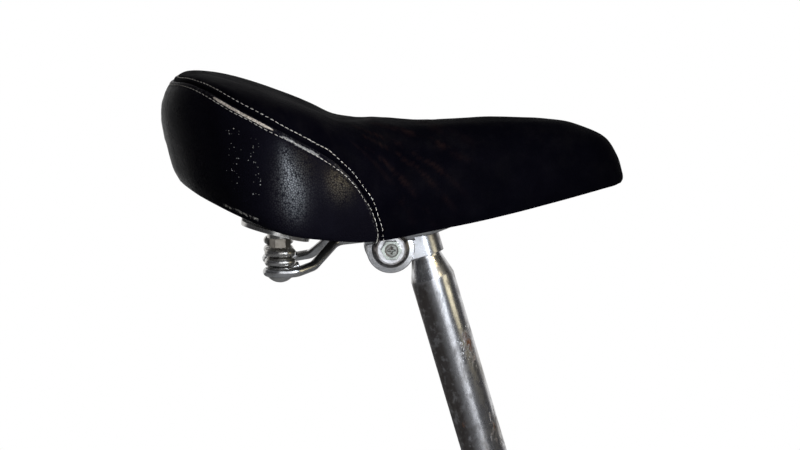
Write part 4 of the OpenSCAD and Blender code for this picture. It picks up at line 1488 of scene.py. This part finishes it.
            on_middle = np.setdiff1d(np.arange(rows * columns), own)
            full[on_middle] = near.ravel()[on_middle]
            give(self.piece, name, full)
        return settle(self.piece, Body.SADDLE, TOP_VINYL, "cushion")

    def _row_share(self, points: Array, hem_row: int) -> Array:
        """Returns where each row lies by length, 0 at the spine, 1 at the seam and 2 at the hem."""
        step = np.linalg.norm(np.diff(points[: hem_row + 1], axis=0), axis=-1)
        run = np.vstack([np.zeros((1, step.shape[1])), np.cumsum(step, axis=0)])
        top = run[: self.top_rows + 1] / run[self.top_rows]
        side = 1 + (run[self.top_rows + 1 :] - run[self.top_rows]) / (run[-1] - run[self.top_rows])
        return np.vstack([top, side])

    def _row_path(self, rows: tuple, lift: float) -> tuple[Array, Array]:
        """Follows a sewn row round the saddle on the finished cover.

        Args:
            rows: [s, t] of points along the row on one side.
            lift: height over the cover in millimetres.

        Returns:
            Points from the right side round the rear to the left, and the cover's normals there.
        """
        line = spline(np.array(rows, float), np.linspace(0, 1, 420))
        half = self.form.skin(line[:, 0], np.clip(line[:, 1], 0.004, 1))
        whole = np.vstack([(half * [1, -1, 1])[::-1], half[1:]])
        places, ups = [], []
        for point in whole:
            _, place, normal, _ = self.piece.closest_point_on_mesh(Vector(point))
            places.append(place + normal * lift * MM)
            ups.append(normal)
        places, ups = np.array(places), np.array(ups)
        kernel = np.ones(5) / 5
        for k in range(3):
            ups[2:-2, k] = np.convolve(ups[:, k], kernel, "same")[2:-2]
            places[2:-2, k] = np.convolve(places[:, k], kernel, "same")[2:-2]
        return places, unit(ups)

    def sew(self) -> None:
        """Sews both rows beside the seam."""
        for name, rows, thread, seed in (
            ("stitches_upper", self.upper_row, self.thread, 3),
            ("stitches_lower", self.lower_row, self.thread * 0.9, 8)
        ):
            path, up = self._row_path(rows, 0.1)
            row = TREES.run(
                "stitch_row", name, [path], THREAD, {"up": [up]}, Pitch=self.pitch * MM,
                Length=self.pitch * 0.93 * MM, Thickness=thread * MM, Lift=0.35 * MM, Seed=seed
            )
            settle(row, Body.SADDLE, THREAD)

    def staple(self) -> None:
        """Staples the hem to the pan all round."""
        s = np.linspace(0.02, 0.97, 500)
        outer, inner = self.form.under(s, 1.0, (0.9, 0.046, 0.018), -0.35), self.form.under(s, 1.0, LIP_RIM, 0.6)
        half = outer * 0.55 + inner * 0.45
        whole = np.vstack([(half * [1, -1, 1])[::-1], half])
        down = np.tile([0.0, 0.0, -1.0], (len(whole), 1))
        row = TREES.run(
            "stitch_row", "hem_staples", [whole], BOLT_STEEL, {"up": [down]}, Pitch=15.5 * MM, Length=9 * MM,
            Thickness=0.8 * MM, Lift=0.7 * MM, Stray=0.2, Seed=21
        )
        settle(row, Body.SADDLE, BOLT_STEEL)


def outward(piece: bpy.types.Object) -> bool:
    """Turns a closed piece's faces outwards.

    Args:
        piece: a closed mesh.

    Returns:
        True if they had pointed inwards.
    """
    shape = bmesh.new()
    shape.from_mesh(piece.data)
    wrong = shape.calc_volume(signed=True) < 0
    if wrong:
        bmesh.ops.reverse_faces(shape, faces=shape.faces)
        shape.to_mesh(piece.data)
        piece.data.update()
    shape.free()
    return wrong


# ---------------------------------------------------------------- base pan


@dataclass
class BasePan:
    """Moulded pan under the cushion, ribbed underneath, with the rubber pillars and the nose clip."""

    columns: int = 150
    rows: int = 40
    wall: float = 3.0
    rib: float = 1.1
    form: SaddleForm = FORM

    def build(self) -> None:
        """Builds the ribbed shell and rounds the parts fixed to it."""
        s = np.linspace(0, 1, self.columns)
        shares = np.linspace(0, 1, self.rows)
        below = np.stack([self.form.under(s, share, PAN_RIM, 0.8) for share in shares])
        ridge = sum(
            np.exp(-(((shares - at) / 0.035) ** 2))
            for at in (0.28, 0.52, 0.76)
        )[:, None] * ease(0.06, 0.14, s) * (1 - ease(0.62, 0.7, s))
        below[..., 2] -= self.rib * MM * ridge
        rim = [self.form.under(s, 1.004, PAN_RIM, lift) for lift in (1.5, 2.6)]
        above = np.stack([self.form.under(s, share, PAN_RIM, 0.8 + self.wall) for share in shares[::-1]])
        points = np.concatenate([below, np.stack(rim), above])
        points[0, :, 1] = points[-1, :, 1] = points[:, 0, 1] = points[:, -1, 1] = 0
        left, right, own = both_sides(*points.shape[:2])
        pan = mesh_object("ribbed_pan", mirrored(points, own), closed_faces(left, right), [PAN_PLASTIC])
        outward(pan)
        settle(pan, Body.SADDLE, PAN_PLASTIC, "base_pan")
        settle(softened("nose_clip_moulded", "nose_clip", PAN_PLASTIC, 0.8), Body.SADDLE, PAN_PLASTIC, "nose_clip")
        for side in Side:
            node = f"spring_pillar_{side.word}"
            settle(softened(f"{node}_moulded", node, PILLAR_RUBBER, 0.7, 35), Body.SADDLE, PILLAR_RUBBER, node)


# ---------------------------------------------------------------- rails and springs


def bent_path(rows: Sequence[tuple[Sequence[float], float]], step: float = 6.0) -> Array:
    """Follows a wire of straights and round bends.

    Args:
        rows: corner points in millimetres, each with its bend radius.
        step: largest turn between points, in degrees.

    Returns:
        Points in millimetres.
    """
    out = [np.array(rows[0][0], float)]
    for (before, _), (corner, radius), (after, _) in zip(rows, rows[1:], rows[2:]):
        o = np.array(corner, float)
        a, b = unit(np.array(before, float) - o), unit(np.array(after, float) - o)
        turn = math.acos(np.clip(-a @ b, -1, 1))
        middle = o + unit(a + b) * radius / math.cos(turn / 2)
        start = o + a * radius * math.tan(turn / 2) - middle
        count = max(2, math.ceil(math.degrees(turn) / step))
        out += [
            middle + start * math.cos(turn * k / count) - radius * a * math.sin(turn * k / count)
            for k in range(count + 1)
        ]
    return np.array(out + [np.array(rows[-1][0], float)])


def chamfered(path: Array, length: float) -> tuple[Array, Array]:
    """Adds two points near each end where the wire narrows.

    Args:
        path: points in millimetres.
        length: length of the chamfer.

    Returns:
        The path with the points added, and the wire's taper at each point.
    """
    head, tail = unit(path[1] - path[0]), unit(path[-2] - path[-1])
    ends = [
        path[:1], path[:1] + head * length * 0.45, path[:1] + head * length, path[1:-1], path[-1:] + tail * length,
        path[-1:] + tail * length * 0.45, path[-1:]
    ]
    taper = np.concatenate([[0.78, 0.94, 1.0], np.ones(len(path) - 2), [1.0, 0.94, 0.78]])
    return np.vstack(ends), taper


@dataclass
class Rails:
    """The two round-wire rails, from the eyes under the springs to the nose clip."""

    radius: float = 3.5
    rise: float = 10.0
    pitch: float = 6.0
    spacing: float = 22.0
    eye: Triple = (-78.5, 48.0, -13.1)
    eye_radius: float = 8.6
    nose: Triple = (113.461, 10.5, 37.994)

    def _along(self, s: float) -> Array:
        """Returns the point s millimetres along the clamped straight."""
        turn = math.radians(self.pitch)
        return np.array(
            [
                s * math.cos(turn) - self.rise * math.sin(turn), self.spacing,
                s * math.sin(turn) + self.rise * math.cos(turn)
            ]
        )

    def path(self) -> Array:
        """Returns the left rail's points in millimetres."""
        eye, nose, r = np.array(self.eye), np.array(self.nose), self.eye_radius
        tip = nose + 19 * np.array([math.cos(math.radians(14)), 0, math.sin(math.radians(14))])
        return bent_path(
            [
                (eye + [13.7, -r, 3.4], 0), (eye + [4, -r, 0], 8), (eye + [-r, -r, 0], r), (eye + [-r, r, 0], r),
                (eye + [10.5, r, 0], 12), (eye + [23.5, r - 12.6, 3.5], 14), (self._along(-37.5), 10),
                (self._along(28.5), 14), ((60, 19, 25.047), 20), (nose, 20), (tip, 0)
            ]
        )

    def build(self) -> None:
        """Sweeps both rails."""
        path, taper = chamfered(self.path(), 1.6)
        for side in Side:
            points = path * [1, side.value, 1] * MM + BOLT
            node = f"rail_{side.word}"
            wire = TREES.run(
                "swept_wire", f"{node}_wire", [points], RAIL_STEEL, {"taper": [taper]},
                Radius=(self.radius - 0.02) * MM, Sides=28
            )
            settle(wire, Body.SADDLE, RAIL_STEEL, node)


@dataclass
class Springs:
    """Two close-wound coils with their bolts and nuts, and the cross plate over them."""

    back: float = 78.5
    beside: float = 48.0
    ring: float = 7.75
    wire: float = 3.25
    low: float = -6.25
    step: float = 6.6

    def coil(self) -> Array:
        """Returns the left coil's points in millimetres: two rings and the crossing between them."""
        turn = np.arange(60, 660.1, 7.5)
        way = np.radians(turn - 90)
        return np.stack(
            [
                self.ring * np.cos(way) - self.back, self.ring * np.sin(way) + self.beside,
                self.low + self.step * ease(300, 420, turn)
            ],
            -1
        )

    def build(self) -> None:
        """Sweeps the coils and rounds the bolts, nuts and plate."""
        path, taper = chamfered(self.coil(), 1.0)
        for side in Side:
            node = f"coil_spring_{side.word}"
            points = path * [1, side.value, 1] * MM + BOLT
            coil = TREES.run(
                "swept_wire", f"{node}_wire", [points], SPRING_STEEL, {"taper": [taper]}, Radius=self.wire * MM,
                Sides=24
            )
            settle(coil, Body.SADDLE, SPRING_STEEL, node)
            for part, finish, bevel in (("spring_bolt", SPRING_STEEL, 0.5), ("spring_nut", BOLT_STEEL, 0.5)):
                node = f"{part}_{side.word}"
                settle(softened(f"{node}_rounded", node, finish, bevel), Body.SADDLE, finish, node)
        settle(
            softened("spring_plate_pressed", "spring_plate", SPRING_STEEL, 0.8), Body.SADDLE, SPRING_STEEL,
            "spring_plate"
        )


# ---------------------------------------------------------------- clamp and post


@dataclass
class RailClamp:
    """Strap round the neck, its bolt and nut, and the four cheeks that hold the rails."""

    def build(self) -> None:
        """Rounds every part of the clamp."""
        settle(
            softened("clamp_strap_pressed", "clamp_strap", STRAP_CHROME, 0.5), Body.CLAMP, STRAP_CHROME, "clamp_strap"
        )
        for node in ("clamp_bolt", "clamp_nut"):
            settle(softened(f"{node}_rounded", node, BOLT_ZINC, 0.35), Body.CLAMP, BOLT_ZINC, node)
        for side in Side:
            for part in ("inner", "outer"):
                node = f"{part}_cheek_{side.word}"
                settle(softened(f"{node}_stamped", node, CLAMP_CHROME, 0.7, 24), Body.CARRIER, CLAMP_CHROME, node)


@dataclass
class SeatPost:
    """Chromed tube swaged down to the clamp's neck, with small dents and pits."""

    radius: float = 15.9
    wall: float = 2.2
    neck: float = 11.1
    lean: float = 16.5
    insert: float = 105.0
    shoulder: float = 150.0
    taper: float = 15.5
    top: float = 194.5
    sides: int = 144

    def profile(self) -> Array:
        """Returns [radius, height] rows up the outside and back down the bore."""
        bore, neck_bore, base = self.radius - self.wall, self.neck - self.wall, self.shoulder + self.taper
        corners = [
            ((self.radius, -self.insert + 0.8), 0.0), ((self.radius, self.shoulder), 3.4), ((self.neck, base), 2.6),
            ((self.neck, self.top - 0.8), 0.0)
        ]
        outer = bent_path([((r, 0, z), bend) for (r, z), bend in corners], 3.0)[:, [0, 2]]
        dense = [outer[0]]
        for a, b in zip(outer, outer[1:]):
            count = max(1, math.ceil(np.linalg.norm(b - a) / 2.5))
            dense += [a + (b - a) * k / count for k in range(1, count + 1)]
        return np.array(
            [(bore, -self.insert), (self.radius - 0.8, -self.insert)] + dense + [
                (self.neck - 0.8, self.top), (neck_bore, self.top), (neck_bore, base),
                (bore, self.shoulder - self.wall)
            ]
        )

    def build(self) -> None:
        """Turns the profile, marks it with dents, and marks its rear side where shade is painted and its taper for heat
        tint.
        """
        profile = self.profile()
        turn = np.radians(np.arange(self.sides) * 360 / self.sides)
        ring = np.stack([np.cos(turn), np.sin(turn), np.zeros_like(turn)], -1)
        local = profile[:, 0, None, None] * ring[None] + profile[:, 1, None, None] * np.array([0, 0, 1.0])
        outer = (profile[:, 0] > self.neck - 0.5) & (profile[:, 1] > -self.insert)
        dents = 0.05 * unevenness(local, 14, 2.2) + 0.03 * unevenness(local, 5, 4.1)
        local = local + ring[None] * np.where(outer[:, None], dents - 0.06, 0)[..., None]
        lean = math.radians(self.lean)
        points = np.stack(
            [
                local[..., 0] * math.cos(lean) - local[..., 2] * math.sin(lean), local[..., 1],
                local[..., 0] * math.sin(lean) + local[..., 2] * math.cos(lean)
            ],
            -1
        )
        ids = np.arange(points.shape[0] * self.sides).reshape(-1, self.sides)
        above = np.roll(ids, -1, axis=0)
        faces = np.stack([ids.ravel(), np.roll(ids, -1, 1).ravel(), np.roll(above, -1, 1).ravel(), above.ravel()], -1)
        post = mesh_object("swaged_post", points.reshape(-1, 3) * MM, faces, [POST_CHROME])
        outward(post)
        # Painted shade: the tube's rear side below the shoulder is marked, and its colour is darkened there like a dark
        # reflection.
        behind = (1 - ease(-0.55, -0.05, ring[None, :, 0])) * (
            1 - ease(self.shoulder - 4, self.shoulder + 3, profile[:, 1, None])
        )
        give(post, "dirt_and_shade", behind)
        swaged = ease(self.shoulder + 0.5, self.shoulder + 3.5, profile[:, 1, None]) * (
            1 - ease(self.shoulder + self.taper, self.shoulder + self.taper + 6, profile[:, 1, None])
        )
        give(post, "heat", np.broadcast_to(swaged, behind.shape))
        post.data.set_sharp_from_angle(angle=math.radians(40))
        settle(post, Body.POST, POST_CHROME, "seat_post")


# ---------------------------------------------------------------- studio


@dataclass(frozen=True)
class Lamp:
    """One area lamp, placed from the clamp bolt.

    Args:
        name: the lamp's name.
        toward: direction from the object to the lamp.
        at: point it looks at, in millimetres from the bolt.
        distance: distance from that point in metres.
        size: its width and height in metres.
        power: its power in watts.
        colour: its colour.
    """

    name: str
    toward: Triple
    at: Triple
    distance: float
    size: tuple[float, float]
    power: float
    colour: Triple


LAMPS = (
    Lamp("hip_window", (0.70, -0.71, 0.1), (-74, -105, 52), 0.26, (0.04, 0.15), 0.72, (0.82, 0.9, 1.0)),
    Lamp("warm_lamp", (0.955, -0.28, 0.2), (-42, -85, 60), 0.17, (0.026, 0.026), 0.035, (1.0, 0.8, 0.42)),
    Lamp("warm_panel", (0.87, -0.5, 0.1), (20, 0, 30), 0.3, (0.12, 0.16), 0.1, (1.0, 0.9, 0.62)),
    Lamp("front_panel", (0.12, -0.97, 0.16), (20, 0, -40), 1.3, (0.75, 1.9), 7.2, (0.92, 0.95, 1.0)),
    Lamp("overhead", (0.15, 0.3, 1.0), (0, 0, 60), 1.6, (1.4, 1.4), 6, (1.0, 1.0, 1.0)),
)


@dataclass
class Studio:
    """White floor and backdrop, soft lamps, and the camera beside the saddle."""

    elevation: float = 5.0
    azimuth: float = 3.0
    distance: float = 2.1
    scale: float = 1396.0
    aim: tuple[float, float] = (-11.0, -20.9)
    width: int = 800
    sensor: float = 36.0
    shadow_fade: tuple[float, float] = (0.35, 0.62)
    behind: tuple[float, float] = (0.6, 1.2)

    def _basis(self) -> tuple[Vector, Vector, Vector]:
        """Returns the camera's right, up and backward directions."""
        e, a = math.radians(self.elevation), math.radians(self.azimuth)
        back = Vector((-math.sin(a) * math.cos(e), -math.cos(a) * math.cos(e), math.sin(e)))
        right = Vector((math.cos(a), -math.sin(a), 0))
        return right, right.cross(-back), back

    def camera(self) -> None:
        """Sets the camera up."""
        right, up, back = self._basis()
        focal = self.scale * self.distance
        data = bpy.data.cameras.new("side_camera")
        data.sensor_width = self.sensor
        data.lens = focal / self.width * self.sensor
        data.clip_start, data.clip_end = 0.05, 50
        place = Vector(BOLT) + back * self.distance - right * (
            self.aim[0] / focal
        ) * self.distance - up * (self.aim[1] / focal) * self.distance
        made = bpy.data.objects.new("side_camera", data)
        made.matrix_world = Matrix.Translation(place) @ Matrix((right, up, back)).transposed().to_4x4()
        bpy.context.scene.collection.objects.link(made)
        bpy.context.scene.camera = made

    @staticmethod
    def _mirrored(w: Wiring, behind: Socket) -> Socket:
        """Finds the mirror and glass rays that meet what lies behind the saddle.

        Args:
            w: the wiring of the tree.
            behind: 1 on what lies behind the saddle, 0 elsewhere.

        Returns:
            A mask of those rays.
        """
        path = w.add("ShaderNodeLightPath")
        either = w.math("MAXIMUM", path.outputs["Is Glossy Ray"], path.outputs["Is Transmission Ray"])
        return w.times(either, behind)

    def world(self) -> None:
        """Lights the room: bright behind and overhead, darker beside the camera."""
        world = bpy.data.worlds.new("studio")
        bpy.context.scene.world = world
        world.use_nodes = True
        tree = world.node_tree
        tree.nodes.clear()
        w = Wiring(tree)
        way = w.add("ShaderNodeSeparateXYZ", {0: w.add("ShaderNodeTexCoord").outputs["Generated"]})
        side = w.between(way.outputs["Y"], 0.35, 0.85, (0.0, 1.0))
        level = w.blend(side, (0.06, 0.06, 0.066, 1), (0.9, 0.9, 0.92, 1))
        top = w.between(way.outputs["Z"], 0.1, 0.9)
        level = w.blend(w.times(top, 0.6), level, (0.25, 0.26, 0.28, 1))
        light = w.add("ShaderNodeBackground", {"Color": level, "Strength": 1.0})
        white = w.add("ShaderNodeBackground", {"Color": (1, 1, 1, 1), "Strength": 1.0})
        seen = w.math("MAXIMUM", w.add("ShaderNodeLightPath").outputs["Is Camera Ray"], self._mirrored(w, side))
        shown = w.add("ShaderNodeMixShader", {0: seen, 1: light.outputs[0], 2: white.outputs[0]})
        w.add("ShaderNodeOutputWorld", {"Surface": shown.outputs[0]})

    def hang(self, lamp: Lamp) -> None:
        """Hangs an area lamp that the camera doesn't see.

        Args:
            lamp: its place, size, power and colour.
        """
        data = bpy.data.lights.new(lamp.name, "AREA")
        data.shape = "RECTANGLE"
        data.size, data.size_y = lamp.size
        data.energy = lamp.power
        data.color = lamp.colour
        made = bpy.data.objects.new(lamp.name, data)
        made.visible_camera = False
        way = Vector(lamp.toward).normalized()
        made.location = Vector(BOLT) + Vector(lamp.at) * MM + way * lamp.distance
        made.rotation_mode = "QUATERNION"
        made.rotation_quaternion = way.to_track_quat("Z", "Y")
        bpy.context.scene.collection.objects.link(made)

    def floor(self) -> None:
        """Lays the floor and its curved backdrop."""
        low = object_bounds()[0].z - 0.002
        run = [(y, low) for y in np.linspace(-4, 2.2, 8)] + [
            (2.2 + 1.3 * math.sin(a), low + 1.3 * (1 - math.cos(a)))
            for a in np.linspace(0.15, math.pi / 2, 12)
        ] + [(3.5, low + 4)]
        points = [(x, y, z) for y, z in run for x in (-5, 5)]
        faces = [(2 * i, 2 * i + 1, 2 * i + 3, 2 * i + 2) for i in range(len(run) - 1)]
        data = bpy.data.meshes.new("studio_floor")
        data.from_pydata(points, [], faces)
        data.shade_smooth()
        made = bpy.data.objects.new("studio_floor", data)
        bpy.context.scene.collection.objects.link(made)
        paper = bpy.data.materials.new("white_paper")
        paper.use_nodes = True
        paper.node_tree.nodes.clear()
        w = Wiring(paper.node_tree)
        paper_tone, shadow_tone = (0.5, 0.5, 0.5, 1), (0.86, 0.86, 0.86, 1)
        sheen = w.add("ShaderNodeBsdfDiffuse", {"Color": paper_tone})
        lit = w.add(
            "ShaderNodeAddShader",
            {
                0: w.add("ShaderNodeBsdfDiffuse", {"Color": shadow_tone}).outputs[0],
                1: w.add("ShaderNodeEmission", {"Strength": 0.58}).outputs[0]
            }
        )
        plain = w.add("ShaderNodeEmission", {"Strength": 1.0})
        flat = w.add(
            "ShaderNodeVectorMath", {0: w.add("ShaderNodeTexCoord").outputs["Object"], 1: (1.0, 1.0, 0.0)},
            operation="MULTIPLY"
        )
        away = w.add("ShaderNodeVectorMath", {0: flat.outputs[0]}, operation="LENGTH").outputs["Value"]
        shown = w.add(
            "ShaderNodeMixShader", {0: w.between(away, *self.shadow_fade), 1: lit.outputs[0], 2: plain.outputs[0]}
        )
        far_side = w.between(w.add("ShaderNodeSeparateXYZ", {0: flat.outputs[0]}).outputs["Y"], *self.behind)
        mirrored = w.add(
            "ShaderNodeMixShader", {0: self._mirrored(w, far_side), 1: sheen.outputs[0], 2: plain.outputs[0]}
        )
        seen = w.add("ShaderNodeLightPath").outputs["Is Camera Ray"]
        both = w.add("ShaderNodeMixShader", {0: seen, 1: mirrored.outputs[0], 2: shown.outputs[0]})
        from_behind = w.add("ShaderNodeNewGeometry").outputs["Backfacing"]
        clear = w.add(
            "ShaderNodeMixShader",
            {0: from_behind, 1: both.outputs[0], 2: w.add("ShaderNodeBsdfTransparent").outputs[0]}
        )
        w.add("ShaderNodeOutputMaterial", {"Surface": clear.outputs[0]})
        data.materials.append(paper)
        made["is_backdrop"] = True

    def build(self) -> None:
        """Sets the whole studio up."""
        self.camera()
        self.world()
        self.floor()
        for lamp in LAMPS:
            self.hang(lamp)
        view = bpy.context.scene.view_settings
        view.view_transform = "Standard"


def corners(box: tuple[Vector, Vector]) -> list[list[float]]:
    """Returns a box as plain lists."""
    return [list(box[0]), list(box[1])]


def main() -> None:
    """Builds every sub-assembly in order."""
    logging.basicConfig(level=logging.INFO, format="%(name)s: %(message)s")
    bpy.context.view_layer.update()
    cushion = Cushion()
    cushion.build()
    cushion.sew()
    cushion.staple()
    for part in (BasePan(), Rails(), Springs(), RailClamp(), SeatPost(), Studio()):
        part.build()


if __name__ == "__main__":
    main()
